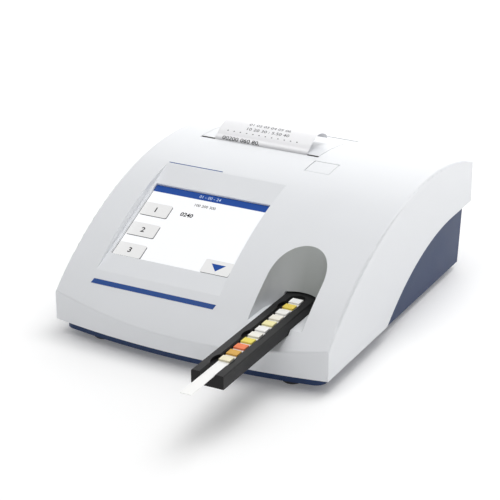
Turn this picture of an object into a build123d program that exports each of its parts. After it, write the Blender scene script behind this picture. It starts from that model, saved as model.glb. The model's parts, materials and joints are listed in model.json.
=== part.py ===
"""Compact bench analyzer for urine test strips.

An arched white cover stands on a dark blue base.  A black tray carries the
strip out through a scooped niche, a receipt printer sits under a hinged lid,
and a colour display lies in a sloped facet.  Millimetres, +Z up, +Y towards
the rear; the origin is under the middle of the whole footprint, at the feet.
"""
from build123d import *

import os
from math import acos, asin, atan2, ceil, cos, degrees, pi, radians, sin, sqrt, tan

os.makedirs("parts", exist_ok=True)

# ---- driving sizes: casing --------------------------------------------------
body_width = 160.0
body_depth = 187.5          # front corners to rear edge
nose_bow = 8.0              # bulge of the front face past its corners
strip_reach = 84.6          # strip tip in front of the corners
arch_radius = 185.0
arch_peak = 74.8
arch_peak_run = 126.0       # peak behind the front corners
wall = 2.5
crease = 1.2                # rounded edge of the arch
foot_height = 4.0
foot_radius = 5.5
foot_inset = 24.0           # foot centre from the side
foot_front_run = 9.0
foot_rear_run = 158.0
base_show = 4.5             # base seen under the cover's edge
skirt_run = 72.0            # straight part of the cover's lower side edge
sweep_run = 88.0            # curved part behind it
sweep_rise = 31.4
base_inset = 4.0
base_front_inset = 3.0
base_wall_top = 46.0
base_corner = 6.0
cover_gap = 0.4             # any inner piece under the cover's inner face
fit_gap = 0.3               # sliding or seated clearance
pin_gap = 0.06              # radial clearance of a pin in its bore

# ---- driving sizes: display -------------------------------------------------
facet_low_run = 12.5
facet_top_run = 88.0
facet_width = 73.8
display_x = -24.9
facet_wall = 1.2
window_width = 70.8
window_height = 54.5
window_drop = 43.25         # window centre below the facet's top edge, on the slope
gasket_thickness = 0.4
glass_width = 76.0
glass_height = 63.0
glass_thickness = 1.1
lcd_thickness = 3.2
display_board_width = 86.0
display_board_height = 66.0
board_thickness = 1.6
display_boss_radius = 2.4

# ---- driving sizes: niche, tray and strip ------------------------------------
tray_inset = 32.7           # tray centre from the right-hand side
niche_half = 15.3
niche_floor = 29.7
niche_round_run = 20.25     # centre of the niche's round back at its floor
niche_lean = 0.43           # the back wall leans this much per unit of height
niche_wall = 2.0
tray_width = 17.5
tray_height = 7.0
tray_bottom = 27.5
tray_front_run = -64.0
tray_rear_run = 70.0
tray_travel = 102.0
channel_width = 6.8
channel_mouth = 8.6
channel_depth = 1.8
channel_spare = 2.0         # channel behind the strip
notch_reach = 7.2           # half length of the oval that cuts a pair of notches
notch_depth = 1.4
strip_width = 6.0
strip_length = 116.6
strip_thickness = 0.3
pad_length = 5.0
pad_pitch = 7.44
pad_count = 11
pad_thickness = 0.9
guide_front_run = 42.5
guide_rear_run = 128.0
guide_wall = 1.3
guide_floor = 2.0

# ---- driving sizes: tray drive and optics ------------------------------------
rack_module = 0.8
pinion_teeth = 14
pinion_run = 58.0
pinion_width = 6.0
fine_module = 0.5
drive_gear_teeth = 30
motor_gear_teeth = 12
gear_width = 2.8
tooth_top = 0.8             # addendum, in modules
tooth_root = 1.1            # dedendum, in modules
backlash = 0.22             # thinning of each tooth, in modules
pressure_angle = 20.0
shaft_radius = 1.5
motor_shaft_radius = 0.75
tray_motor_radius = 10.0
tray_motor_length = 10.0
motor_plate = 1.2
head_front_run = 50.6
head_length = 21.0
head_width = 21.0
head_height = 15.8
head_bore = 3.5
lens_thickness = 2.0

# ---- driving sizes: printer --------------------------------------------------
printer_inset = 55.4        # printer centre from the left-hand side
lid_width = 74.2
lid_front_run = 127.0
slit_width = 1.7
hinge_run = 176.0
hinge_drop = 4.0            # hinge axis below the arch
hinge_barrel = 3.0
hinge_pin_radius = 1.0
lid_rear_gap = 0.8
paper_shift = 0.8           # paper centre from the printer centre
paper_width = 58.2
paper_thickness = 0.25
roll_run = 154.0
roll_z = 50.0
roll_radius = 18.0
core_radius = 6.0
core_bore = 4.5
platen_run = 131.6
platen_z = 66.5
platen_radius = 4.5
platen_gear_teeth = 18
feed_gear_teeth = 12
feed_angle = 233.0          # feed gear as seen from the platen, from +Y towards +Z
feed_motor_radius = 7.5
feed_motor_length = 11.0
cheek = 1.6
trough_wall = 1.6
printer_front_run = 119.0
head_plate = 1.4

# ---- driving sizes: lid button and latch ---------------------------------------
button_shift = 45.55        # button centre from the printer centre
button_run = 113.05
button_width = 15.1
button_length = 14.3
button_depth = 4.0
button_travel = 2.0
stem_radius = 1.4
spring_radius = 3.4
spring_wire = 0.6
spring_turns = 5
shelf_z = 58.0
shelf_thickness = 2.0
latch_run = 124.0
latch_z = 55.5
latch_hub = 2.8
latch_pin_radius = 1.0
latch_arm_reach = 12.5
latch_finger_top = 69.0
latch_nose_reach = 3.7      # 0.4 in front of the lid's ear

# ---- driving sizes: power and electronics --------------------------------------
cell_radius = 7.1
cell_length = 49.2
cell_nub_radius = 2.75
cell_nub_length = 1.3
cell_pitch = 15.0
cell_count = 4
cells_x = -28.0
cells_run = 47.0            # middle of the cells behind the front corners
contact_thickness = 0.5
door_thickness = 2.0
door_travel = 6.0
door_rim = 3.0              # door past the cell bay on every side
tongue_width = 1.2
tongue_thickness = 1.0
bay_wall = 1.6
main_board_width = 70.0
main_board_length = 84.0
main_board_gap = 3.0        # board to the connector panel
main_board_z = 12.0
standoff_radius = 3.2
board_screw_inset = 5.0
board_screw_end = 14.0      # farther in, clear of the rear connectors
screw_radius = 1.5
screw_head_radius = 2.8
screw_head = 1.8
column_radius = 3.8
column_inset = 12.0
column_front_run = 14.0
column_rear_run = 168.0
column_joint_z = 20.0
column_engage = 9.0
panel_run = 178.0
serial_spacing = 24.99
serial_screw_radius = 1.4
serial_shift = -16.4        # connector centres from the printer centre
usb_shift = 11.6
jack_shift = 28.1
jack_bore = 2.75
jack_pin = 1.05
jack_depth = 9.0

# ---- places worked out from them -------------------------------------------------
half_width = body_width / 2
foot_x = half_width - foot_inset
column_x = half_width - column_inset
tray_x = half_width - tray_inset
printer_x = printer_inset - half_width
paper_x = printer_x + paper_shift
button_x = printer_x + button_shift
serial_x = printer_x + serial_shift
usb_x = printer_x + usb_shift
jack_x = printer_x + jack_shift
front = (strip_reach - body_depth) / 2
rear = front + body_depth
arch_y = front + arch_peak_run
arch_z = arch_peak - arch_radius
base_bottom = foot_height
skirt_z = base_bottom + base_show
bow_radius = (half_width ** 2 + nose_bow ** 2) / (2 * nose_bow)
bow_y = front - nose_bow + bow_radius
reach = 400.0               # longer than anything, for cutting blocks


def arch_height(y, inset=0.0):
    """Height of the arch over y, moved inwards by inset."""
    return arch_z + sqrt((arch_radius - inset) ** 2 - (y - arch_y) ** 2)


def arched_block(side, nose, top, back, bottom):
    """Block under the arch with a bowed front, each face moved inwards."""
    nose_y = front - nose_bow + nose
    edge_x = half_width - side
    edge_y = bow_y - sqrt((bow_radius - nose) ** 2 - edge_x ** 2)
    start_y = nose_y - 2
    end_y = rear - back
    with BuildPart() as block:
        with BuildSketch(Plane.YZ):
            with BuildLine():
                start = (start_y, arch_height(start_y, top))
                finish = (end_y, arch_height(end_y, top))
                ThreePointArc(start, (arch_y, arch_peak - top), finish)
                Polyline(finish, (end_y, bottom), (start_y, bottom), start)
            make_face()
        extrude(amount=edge_x, both=True)
        with BuildSketch():
            with BuildLine():
                ThreePointArc((-edge_x, edge_y), (0, nose_y), (edge_x, edge_y))
                Polyline((edge_x, edge_y), (edge_x, rear + 1), (-edge_x, rear + 1), (-edge_x, edge_y))
            make_face()
        extrude(amount=reach, both=True, mode=Mode.INTERSECT)
    return block.part


def niche_block(grow, floor):
    """U-shaped scoop whose back leans; grown outwards and down to floor."""
    plane = Plane((tray_x, front + niche_round_run, niche_floor))
    low = floor - niche_floor
    rise = arch_peak - niche_floor + 5
    with BuildPart() as scoop:
        with BuildSketch(plane.offset(low)):
            with Locations((0, niche_lean * low)):
                Circle(niche_half + grow)
                Rectangle(2 * (niche_half + grow), reach / 4, align=(Align.CENTER, Align.MAX))
        extrude(amount=(rise - low) * sqrt(1 + niche_lean ** 2), dir=(0, niche_lean, 1))
    return scoop.part


def gear_blank(teeth, module, turn):
    """Spur gear outline with involute flanks; a tooth points along turn (degrees)."""
    pitch_radius = teeth * module / 2
    ground = pitch_radius * cos(radians(pressure_angle))
    tip = pitch_radius + tooth_top * module
    root = pitch_radius - tooth_root * module
    at_pitch = (pi / 2 - backlash) / teeth
    involute_pitch = tan(radians(pressure_angle)) - radians(pressure_angle)

    def flank(radius):
        """Half angle of the tooth at a radius."""
        lean = acos(min(1.0, ground / radius))
        return at_pitch + involute_pitch - (tan(lean) - lean)

    low = max(root, ground)
    points = [(radius * cos(flank(radius)), radius * sin(flank(radius)))
              for radius in (low, (low + tip) / 2, tip)]
    below = (root * 0.9 * cos(flank(low)), root * 0.9 * sin(flank(low)))
    with BuildSketch() as outline:
        Circle(root)
        with BuildSketch(mode=Mode.PRIVATE) as tooth:
            with BuildLine():
                Spline(*points)
                Line(points[-1], (points[-1][0], -points[-1][1]))
                Spline(*[(x, -y) for x, y in points])
                Polyline((points[0][0], -points[0][1]), (below[0], -below[1]), below, points[0])
            make_face()
        with PolarLocations(0, teeth, start_angle=turn):
            add(tooth.sketch)
    return outline.sketch


def write(piece, name):
    """Label a finished piece and write its STEP file."""
    piece.part.label = name
    export_step(piece.part, f"parts/{name}.step")


# ---- display planes -------------------------------------------------------------------
facet_rise = arch_height(front + facet_top_run) - arch_height(front + facet_low_run)
facet_tilt = atan2(facet_rise, facet_top_run - facet_low_run)
window_y = front + facet_top_run - window_drop * cos(facet_tilt)
window_z = arch_height(front + facet_top_run) - window_drop * sin(facet_tilt)
facet = Plane((display_x, window_y, window_z), x_dir=(1, 0, 0), z_dir=(0, -sin(facet_tilt), cos(facet_tilt)))
gasket_top = -facet_wall
glass_top = gasket_top - gasket_thickness
lcd_top = glass_top - glass_thickness
display_board_top = lcd_top - lcd_thickness
display_boss_x = display_board_width / 2 - display_boss_radius
display_boss_y = display_board_height / 2 - display_boss_radius
display_screw_places = [(x, y) for x in (-display_boss_x, display_boss_x) for y in (-display_boss_y, display_boss_y)]

# ---- screw columns ----------------------------------------------------------------------
column_places = [(x, front + run) for x in (-column_x, column_x) for run in (column_front_run, column_rear_run)]

# ---- printer places ---------------------------------------------------------------------
lid_left = printer_x - lid_width / 2
lid_right = printer_x + lid_width / 2
lid_front = front + lid_front_run
slit_front = lid_front - slit_width
hinge_y = front + hinge_run
hinge_z = arch_height(hinge_y) - hinge_drop
opening_rear = hinge_y + hinge_drop + lid_rear_gap
button_y = front + button_run

# ---- top cover ----------------------------------------------------------------------------
with BuildPart() as top_cover:
    add(arched_block(0, 0, 0, 0, skirt_z))
    arch_face = top_cover.faces().filter_by(GeomType.CYLINDER).sort_by(Axis.Z)[-1]
    fillet(arch_face.edges(), crease)
    # the lower side edge sweeps up towards the rear
    with BuildSketch(Plane.YZ):
        sweep_start = (front + skirt_run, skirt_z)
        sweep_end = (front + skirt_run + sweep_run, skirt_z + sweep_rise)
        with BuildLine():
            TangentArc(sweep_end, sweep_start, tangent=(-1, 0))
            Polyline(sweep_end, (rear + 5, sweep_end[1]), (rear + 5, 0), (sweep_start[0], 0), sweep_start)
        make_face()
    extrude(amount=half_width + 1, both=True, mode=Mode.SUBTRACT)
    # sloped display facet
    with BuildSketch(facet):
        Rectangle(facet_width, reach / 2)
    extrude(amount=reach / 8, mode=Mode.SUBTRACT)
    add(niche_block(0, niche_floor), mode=Mode.SUBTRACT)
    # inner space, which leaves walls behind the facet and around the niche
    with BuildPart(mode=Mode.PRIVATE) as cavity:
        add(arched_block(wall, wall, wall, wall, 0))
        with BuildSketch(facet.offset(gasket_top)):
            Rectangle(facet_width + 2 * wall, reach / 2)
        extrude(amount=reach / 8, mode=Mode.SUBTRACT)
        add(niche_block(niche_wall, tray_bottom - fit_gap - niche_wall), mode=Mode.SUBTRACT)
    add(cavity.part, mode=Mode.SUBTRACT)
    # groove and doorway for the tray
    with BuildSketch(Plane.XY.offset(tray_bottom - fit_gap)):
        with Locations((tray_x, front - nose_bow - 2)):
            Rectangle(tray_width + 2 * fit_gap, niche_round_run + 50, align=(Align.CENTER, Align.MIN))
    extrude(amount=tray_height + 3 * fit_gap, mode=Mode.SUBTRACT)
    # display window
    with BuildSketch(facet):
        RectangleRounded(window_width, window_height, 0.8)
    extrude(amount=2 * facet_wall, both=True, mode=Mode.SUBTRACT)
    # printer opening and button hole
    with BuildSketch():
        with Locations((printer_x, (slit_front + opening_rear) / 2)):
            Rectangle(lid_width, opening_rear - slit_front)
        with Locations((button_x, button_y)):
            Rectangle(button_width, button_length)
    extrude(amount=reach, mode=Mode.SUBTRACT)
    # bosses for the display's screws and the casing's screws
    with BuildPart(mode=Mode.PRIVATE) as bosses:
        with BuildSketch(facet.offset(display_board_top)):
            with Locations(*display_screw_places):
                Circle(display_boss_radius)
        extrude(amount=reach / 8)
        with BuildSketch(Plane.XY.offset(column_joint_z)):
            with Locations(*column_places):
                Circle(column_radius)
        extrude(amount=reach / 4)
        add(arched_block(wall / 2, wall / 2, wall / 2, wall / 2, 0), mode=Mode.INTERSECT)
        with BuildSketch(Plane.XY.offset(column_joint_z)):
            with Locations(*column_places):
                Circle(screw_radius + pin_gap)
        extrude(amount=column_engage + 1, mode=Mode.SUBTRACT)
        with BuildSketch(facet.offset(display_board_top)):
            with Locations(*display_screw_places):
                Circle(1.0 + pin_gap)
        extrude(amount=4.0, mode=Mode.SUBTRACT)
    add(bosses.part)
write(top_cover, "top_cover")

# ---- base shell -------------------------------------------------------------------------------
floor_top = base_bottom + wall
bay_width = cell_count * cell_pitch + 1.6
bay_length = cell_length + cell_nub_length + 2 * (contact_thickness + fit_gap)
bay_y = front + cells_run
bay_top = base_bottom + door_thickness + 0.8 + 2 * cell_radius + 1.2
door_width = bay_width + 2 * door_rim
door_length = bay_length + 2 * door_rim
pocket_length = door_length + door_travel + 2 * fit_gap
pocket_y = bay_y - door_length / 2 - fit_gap + pocket_length / 2
board_y = front + panel_run - main_board_gap - main_board_length / 2
board_hole_x = main_board_width / 2 - board_screw_inset
board_hole_y = main_board_length / 2 - board_screw_end
foot_places = {
    "foot_front_left": (-foot_x, front + foot_front_run),
    "foot_front_right": (foot_x, front + foot_front_run),
    "foot_rear_left": (-foot_x, front + foot_rear_run),
    "foot_rear_right": (foot_x, front + foot_rear_run),
}
base_rear_low = rear - 7.3
base_rear_high = rear - 3.1
base_rear_z = skirt_z + 27.3


def base_block(inset, bottom):
    """The base's outer form, moved inwards: bowed nose, leaning rear, flat top."""
    with BuildPart() as block:
        add(arched_block(base_inset + inset, base_front_inset + inset, base_inset, 0, bottom))
        with BuildSketch(Plane.YZ):
            with BuildLine():
                Polyline(
                    (front - nose_bow, bottom), (base_rear_low - inset, bottom),
                    (base_rear_high - inset, base_rear_z), (base_rear_high - inset, base_wall_top),
                    (front - nose_bow, base_wall_top), close=True)
            make_face()
        extrude(amount=half_width, both=True, mode=Mode.INTERSECT)
    return block.part


with BuildPart() as base_shell:
    add(base_block(0, base_bottom))
    fillet(base_shell.edges().filter_by(Axis.Z).group_by(Axis.Y)[0], base_corner)
    with BuildPart(mode=Mode.PRIVATE) as base_hollow:
        add(base_block(wall, floor_top))
        fillet(base_hollow.edges().filter_by(Axis.Z).group_by(Axis.Y)[0], base_corner - wall)
    add(base_hollow.part, mode=Mode.SUBTRACT)
    # cell bay: a thick rim round the pocket and walls above it
    with BuildSketch(Plane.XY.offset(base_bottom)):
        with Locations((cells_x, pocket_y)):
            Rectangle(door_width + 2 * (tongue_width + 2), pocket_length + 4)
    extrude(amount=door_thickness + 2.4)
    with BuildSketch(Plane.XY.offset(base_bottom)):
        with Locations((cells_x, bay_y)):
            Rectangle(bay_width + 2 * bay_wall, bay_length + 2 * bay_wall)
    extrude(amount=bay_top + bay_wall - base_bottom)
    with BuildSketch(Plane.XY.offset(base_bottom)):
        with Locations((cells_x, bay_y)):
            Rectangle(bay_width, bay_length)
    extrude(amount=bay_top - base_bottom, mode=Mode.SUBTRACT)
    with BuildSketch(Plane.XY.offset(base_bottom)):
        with Locations((cells_x, pocket_y)):
            Rectangle(door_width + 2 * fit_gap, pocket_length)
    extrude(amount=door_thickness + fit_gap / 2, mode=Mode.SUBTRACT)
    with BuildSketch(Plane.XY.offset(base_bottom + door_thickness / 2 - tongue_thickness / 2 - 0.1)):
        with Locations((cells_x, pocket_y)):
            Rectangle(door_width + 2 * (fit_gap + tongue_width), pocket_length)
    extrude(amount=tongue_thickness + 0.2, mode=Mode.SUBTRACT)
    # columns for the casing screws and standoffs for the main board
    with BuildSketch(Plane.XY.offset(base_bottom)):
        with Locations(*column_places):
            Circle(column_radius)
    extrude(amount=column_joint_z - base_bottom)
    with BuildSketch(Plane.XY.offset(base_bottom)):
        with Locations(*column_places):
            Circle(screw_radius + 4 * pin_gap)
    extrude(amount=column_joint_z - base_bottom, mode=Mode.SUBTRACT)
    with BuildSketch(Plane.XY.offset(base_bottom)):
        with Locations(*column_places):
            Circle(screw_head_radius + fit_gap)
    extrude(amount=screw_head + 0.6, mode=Mode.SUBTRACT)
    with BuildSketch(Plane.XY.offset(floor_top)):
        with Locations((printer_x, board_y)):
            with GridLocations(2 * board_hole_x, 2 * board_hole_y, 2, 2):
                Circle(standoff_radius)
    extrude(amount=main_board_z - floor_top)
    with BuildSketch(Plane.XY.offset(floor_top)):
        with Locations((printer_x, board_y)):
            with GridLocations(2 * board_hole_x, 2 * board_hole_y, 2, 2):
                Circle(1.0 + pin_gap)
    extrude(amount=main_board_z - floor_top, mode=Mode.SUBTRACT)
    # sockets for the feet's studs
    with BuildSketch(Plane.XY.offset(base_bottom)):
        with Locations(*foot_places.values()):
            Circle(2.0 + pin_gap)
    extrude(amount=1.5, mode=Mode.SUBTRACT)
    # upright connector panel in a recess of the leaning rear wall
    panel_middle = (serial_x - 18 + jack_x + 9) / 2
    panel_width = jack_x + 9 - serial_x + 18
    with BuildPart(mode=Mode.PRIVATE) as panel:
        with BuildSketch(Plane.XY.offset(main_board_z - 3)):
            with Locations((panel_middle, front + panel_run - wall)):
                Rectangle(panel_width + 2 * wall, 20, align=(Align.CENTER, Align.MIN))
        extrude(amount=22)
        add(base_block(wall / 2, base_bottom), mode=Mode.INTERSECT)
    add(panel.part)
    with BuildSketch(Plane.XY.offset(main_board_z - 1)):
        with Locations((panel_middle, front + panel_run)):
            Rectangle(panel_width, 20, align=(Align.CENTER, Align.MIN))
    extrude(amount=18, mode=Mode.SUBTRACT)
    connector_z = main_board_z + board_thickness + 6.25
    with BuildSketch(Plane.XZ.offset(-front - panel_run - 1)):
        with Locations((serial_x, connector_z)):
            Rectangle(31.6, 13.1)
        with Locations((usb_x, connector_z - 0.75)):
            Rectangle(12.6, 11.6)
        with Locations((jack_x, connector_z - 0.75)):
            Rectangle(9.6, 11.6)
    extrude(amount=wall + 3, mode=Mode.SUBTRACT)
write(base_shell, "base_shell")

# ---- feet -----------------------------------------------------------------------------------------
for foot_name, foot_place in foot_places.items():
    with BuildPart() as foot:
        with BuildSketch():
            with Locations(foot_place):
                Circle(foot_radius)
        extrude(amount=foot_height)
        chamfer(foot.faces().sort_by(Axis.Z)[0].edges(), 0.6)
        with BuildSketch(Plane.XY.offset(foot_height)):
            with Locations(foot_place):
                Circle(2.0)
        extrude(amount=1.4)
    write(foot, foot_name)

# ---- casing screws -----------------------------------------------------------------------------------
with BuildPart() as case_screws:
    with BuildSketch(Plane.XY.offset(base_bottom + 0.6)):
        with Locations(*column_places):
            Circle(screw_head_radius)
    extrude(amount=screw_head)
    with BuildSketch(Plane.XY.offset(base_bottom + 0.6)):
        with Locations(*column_places):
            Circle(screw_radius)
    extrude(amount=column_joint_z + column_engage - base_bottom - 0.6)
    with BuildSketch(Plane.XY.offset(base_bottom + 0.6)):
        with Locations(*column_places):
            Rectangle(3.2, 0.7)
            Rectangle(0.7, 3.2)
    extrude(amount=0.9, mode=Mode.SUBTRACT)
write(case_screws, "case_screws")

# ---- display stack ---------------------------------------------------------------------------------------
with BuildPart() as display_gasket:
    with BuildSketch(facet.offset(gasket_top)):
        Rectangle(glass_width, glass_height)
        Rectangle(window_width + 1, window_height + 1, mode=Mode.SUBTRACT)
    extrude(amount=-gasket_thickness)
write(display_gasket, "display_gasket")

with BuildPart() as display_glass:
    with BuildSketch(facet.offset(glass_top)):
        Rectangle(glass_width, glass_height)
    extrude(amount=-glass_thickness)
write(display_glass, "display_glass")

with BuildPart() as lcd_module:
    with BuildSketch(facet.offset(lcd_top)):
        Rectangle(glass_width, glass_height)
    extrude(amount=-lcd_thickness)
    with BuildSketch(facet.offset(lcd_top)):
        Rectangle(window_width, window_height)
    extrude(amount=-0.3, mode=Mode.SUBTRACT)
write(lcd_module, "lcd_module")

with BuildPart() as display_board:
    with BuildSketch(facet.offset(display_board_top)):
        Rectangle(display_board_width, display_board_height)
        with Locations(*display_screw_places):
            Circle(1.0 + pin_gap, mode=Mode.SUBTRACT)
    extrude(amount=-board_thickness)
    with BuildSketch(facet.offset(display_board_top - board_thickness)):
        with Locations((0, display_board_height / 2 - 8)):
            Rectangle(24, 5)
        with Locations((18, 0)):
            Rectangle(14, 14)
    extrude(amount=-2.0)
write(display_board, "display_board")

with BuildPart() as display_screws:
    with BuildSketch(facet.offset(display_board_top - board_thickness)):
        with Locations(*display_screw_places):
            Circle(1.9)
    extrude(amount=-1.2)
    with BuildSketch(facet.offset(display_board_top - board_thickness)):
        with Locations(*display_screw_places):
            Circle(1.0)
    extrude(amount=board_thickness + 3.6)
write(display_screws, "display_screws")

# ---- strip tray with its rack -----------------------------------------------------------------------------
tray_top = tray_bottom + tray_height
tray_front = front + tray_front_run
tray_rear = front + tray_rear_run
pinion_y = front + pinion_run
pinion_radius = pinion_teeth * rack_module / 2
rack_line = tray_bottom + tooth_top * rack_module
pinion_z = rack_line - pinion_radius
rack_pitch = pi * rack_module
rack_gaps = ceil(tray_travel / rack_pitch) + 5
channel_floor = tray_top - channel_depth
channel_rear = front + strip_length - strip_reach + channel_spare

with BuildPart() as strip_tray:
    with BuildSketch(Plane.XY.offset(tray_bottom)):
        with Locations((tray_x, (tray_front + tray_rear) / 2)):
            Rectangle(tray_width, tray_rear - tray_front)
    extrude(amount=tray_height)
    top_long_edges = strip_tray.faces().sort_by(Axis.Z)[-1].edges().filter_by(Axis.Y)
    chamfer(top_long_edges, 0.5)
    # open channel for the strip: flared walls, round end, finger notches
    channel_taper = degrees(atan2((channel_mouth - channel_width) / 2, channel_depth))
    with BuildSketch(Plane.XY.offset(channel_floor)):
        with Locations((tray_x, channel_rear - channel_width / 2)):
            Circle(channel_width / 2)
        with Locations((tray_x, channel_rear - channel_width / 2)):
            Rectangle(channel_width, channel_rear - tray_front, align=(Align.CENTER, Align.MAX))
    extrude(amount=channel_depth + 0.01, taper=-channel_taper, mode=Mode.SUBTRACT)
    with BuildSketch(Plane.XY.offset(channel_floor)):
        for notch_run in (-48.5, -17.6, 21.2):
            with Locations((tray_x, front + notch_run)):
                Ellipse(channel_mouth / 2 + notch_depth, notch_reach)
    extrude(amount=channel_depth + 0.01, mode=Mode.SUBTRACT)
    # rack along the underside
    with BuildSketch(Plane.YZ.offset(tray_x)):
        gap_half = pi * rack_module / 4 + backlash * rack_module / 2
        slope = tan(radians(pressure_angle))
        gap_top = tooth_root * rack_module
        gap_low = -tooth_top * rack_module - 0.05
        for index in range(rack_gaps):
            gap_y = pinion_y + (2 - index) * rack_pitch
            with BuildLine():
                Polyline(
                    (gap_y - gap_half + slope * gap_low, rack_line + gap_low),
                    (gap_y - gap_half + slope * gap_top, rack_line + gap_top),
                    (gap_y + gap_half - slope * gap_top, rack_line + gap_top),
                    (gap_y + gap_half - slope * gap_low, rack_line + gap_low), close=True)
            make_face()
    extrude(amount=pinion_width / 2 + 0.5, both=True, mode=Mode.SUBTRACT)
write(strip_tray, "strip_tray")

strip_tip = front - strip_reach
with BuildPart() as test_strip:
    with BuildSketch(Plane.XY.offset(channel_floor)):
        with Locations((tray_x, strip_tip)):
            Rectangle(strip_width, strip_length, align=(Align.CENTER, Align.MIN))
    extrude(amount=strip_thickness)
write(test_strip, "test_strip")

with BuildPart() as reagent_pads:
    with BuildSketch(Plane.XY.offset(channel_floor + strip_thickness)):
        for index in range(pad_count):
            with Locations((tray_x, strip_tip + strip_length - pad_length / 2 - index * pad_pitch)):
                Rectangle(strip_width, pad_length)
    extrude(amount=pad_thickness)
write(reagent_pads, "reagent_pads")

# ---- tray guide: channel, bearings, motor plate and legs ----------------------------------------------------
guide_half = tray_width / 2 + fit_gap + guide_wall
guide_low = tray_bottom - fit_gap - guide_floor
guide_top = tray_top + 1.5
drive_radius = drive_gear_teeth * fine_module / 2
motor_gear_radius = motor_gear_teeth * fine_module / 2
motor_angle = 16.0
motor_y = pinion_y + (drive_radius + motor_gear_radius) * cos(radians(motor_angle))
motor_z = pinion_z + (drive_radius + motor_gear_radius) * sin(radians(motor_angle))
drive_gear_x = tray_x + guide_half + fit_gap + 0.2
motor_plate_x = drive_gear_x + gear_width + 0.5
bearing_x = pinion_width / 2 + 1.8
bearing_width = 1.5
guide_front = front + guide_front_run
guide_rear = front + guide_rear_run

with BuildPart() as tray_guide:
    with BuildSketch(Plane.XY.offset(guide_low)):
        with Locations((tray_x, (guide_front + guide_rear) / 2)):
            Rectangle(2 * guide_half, guide_rear - guide_front)
    extrude(amount=guide_top - guide_low)
    with BuildSketch(Plane.XY.offset(tray_bottom - fit_gap)):
        with Locations((tray_x, (guide_front + guide_rear) / 2)):
            Rectangle(tray_width + 2 * fit_gap, guide_rear - guide_front)
    extrude(amount=tray_height + 5, mode=Mode.SUBTRACT)
    # window for the pinion
    with BuildSketch(Plane.XY.offset(guide_low)):
        with Locations((tray_x, pinion_y)):
            Rectangle(pinion_width + 1.0, 2 * pinion_radius + 3)
    extrude(amount=guide_floor + 1, mode=Mode.SUBTRACT)
    # bearing plates under the floor
    with BuildSketch(Plane.XY.offset(pinion_z - 4)):
        for side in (-1, 1):
            with Locations((tray_x + side * bearing_x, pinion_y)):
                Rectangle(bearing_width, 2 * pinion_radius)
    extrude(amount=guide_low - pinion_z + 4.5)
    # motor plate and its bridge
    with BuildSketch(Plane.YZ.offset(motor_plate_x)):
        with Locations(((pinion_y + motor_y) / 2 + 5, (guide_low + guide_top) / 2 - 5)):
            Rectangle(40, 20)
    extrude(amount=motor_plate)
    with BuildSketch(Plane.XY.offset(guide_low)):
        with Locations((tray_x + guide_half - 0.5, motor_y + tray_motor_radius + 1)):
            Rectangle(motor_plate_x - tray_x - guide_half + 0.6, 5, align=(Align.MIN, Align.MIN))
    extrude(amount=8)
    with BuildSketch(Plane.YZ.offset(tray_x - bearing_x - bearing_width)):
        with Locations((pinion_y, pinion_z)):
            Circle(shaft_radius + pin_gap)
    extrude(amount=motor_plate_x - tray_x + 20, mode=Mode.SUBTRACT)
    with BuildSketch(Plane.YZ.offset(motor_plate_x - 1)):
        with Locations((motor_y, motor_z)):
            Circle(motor_gear_radius + 0.8)
    extrude(amount=motor_plate + 2, mode=Mode.SUBTRACT)
    # legs on the base's floor
    with BuildSketch(Plane.XY.offset(floor_top)):
        for leg_y in (guide_front + 2.5, guide_rear - 2.5):
            with Locations((tray_x, leg_y)):
                Rectangle(2 * guide_half, 5)
    extrude(amount=guide_low - floor_top + 0.5)
write(tray_guide, "tray_guide")

with BuildPart() as tray_pinion:
    with BuildSketch(Plane.YZ.offset(tray_x - pinion_width / 2)):
        with Locations((pinion_y, pinion_z)):
            add(gear_blank(pinion_teeth, rack_module, 90))
    extrude(amount=pinion_width)
    with BuildSketch(Plane.YZ.offset(drive_gear_x)):
        with Locations((pinion_y, pinion_z)):
            add(gear_blank(drive_gear_teeth, fine_module, motor_angle))
    extrude(amount=gear_width)
    with BuildSketch(Plane.YZ.offset(tray_x - bearing_x - bearing_width)):
        with Locations((pinion_y, pinion_z)):
            Circle(shaft_radius)
    extrude(amount=motor_plate_x + motor_plate - tray_x + bearing_x + bearing_width)
write(tray_pinion, "tray_pinion")

with BuildPart() as tray_motor:
    with BuildSketch(Plane.YZ.offset(motor_plate_x + motor_plate)):
        with Locations((motor_y, motor_z)):
            Circle(tray_motor_radius)
            Circle(motor_shaft_radius + pin_gap, mode=Mode.SUBTRACT)
    extrude(amount=tray_motor_length)
write(tray_motor, "tray_motor")

half_tooth = 180 / motor_gear_teeth
with BuildPart() as motor_gear:
    with BuildSketch(Plane.YZ.offset(drive_gear_x)):
        with Locations((motor_y, motor_z)):
            add(gear_blank(motor_gear_teeth, fine_module, motor_angle + 180 + half_tooth))
    extrude(amount=gear_width)
    with BuildSketch(Plane.YZ.offset(drive_gear_x + gear_width)):
        with Locations((motor_y, motor_z)):
            Circle(motor_shaft_radius)
    extrude(amount=tray_motor_length / 2)
write(motor_gear, "motor_gear")

# ---- optical head -----------------------------------------------------------------------------------------------
head_y = front + head_front_run + head_length / 2
read_y = front + head_front_run + 6.5
head_top = guide_top + head_height
with BuildPart() as optics_housing:
    with BuildSketch(Plane.XY.offset(guide_top)):
        with Locations((tray_x, head_y)):
            Rectangle(head_width, head_length)
    extrude(amount=head_height)
    with BuildSketch(Plane.XY.offset(guide_top)):
        with Locations((tray_x, read_y)):
            Circle(head_bore)
    extrude(amount=lens_thickness + 1.5, mode=Mode.SUBTRACT)
    with BuildSketch(Plane.XY.offset(guide_top)):
        with Locations((tray_x, read_y)):
            Circle(head_bore - 1)
    extrude(amount=head_height, mode=Mode.SUBTRACT)
write(optics_housing, "optics_housing")

with BuildPart() as optics_lens:
    with BuildSketch(Plane.XY.offset(guide_top + 1.5)):
        with Locations((tray_x, read_y)):
            Circle(head_bore - pin_gap)
    extrude(amount=lens_thickness)
write(optics_lens, "optics_lens")

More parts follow.
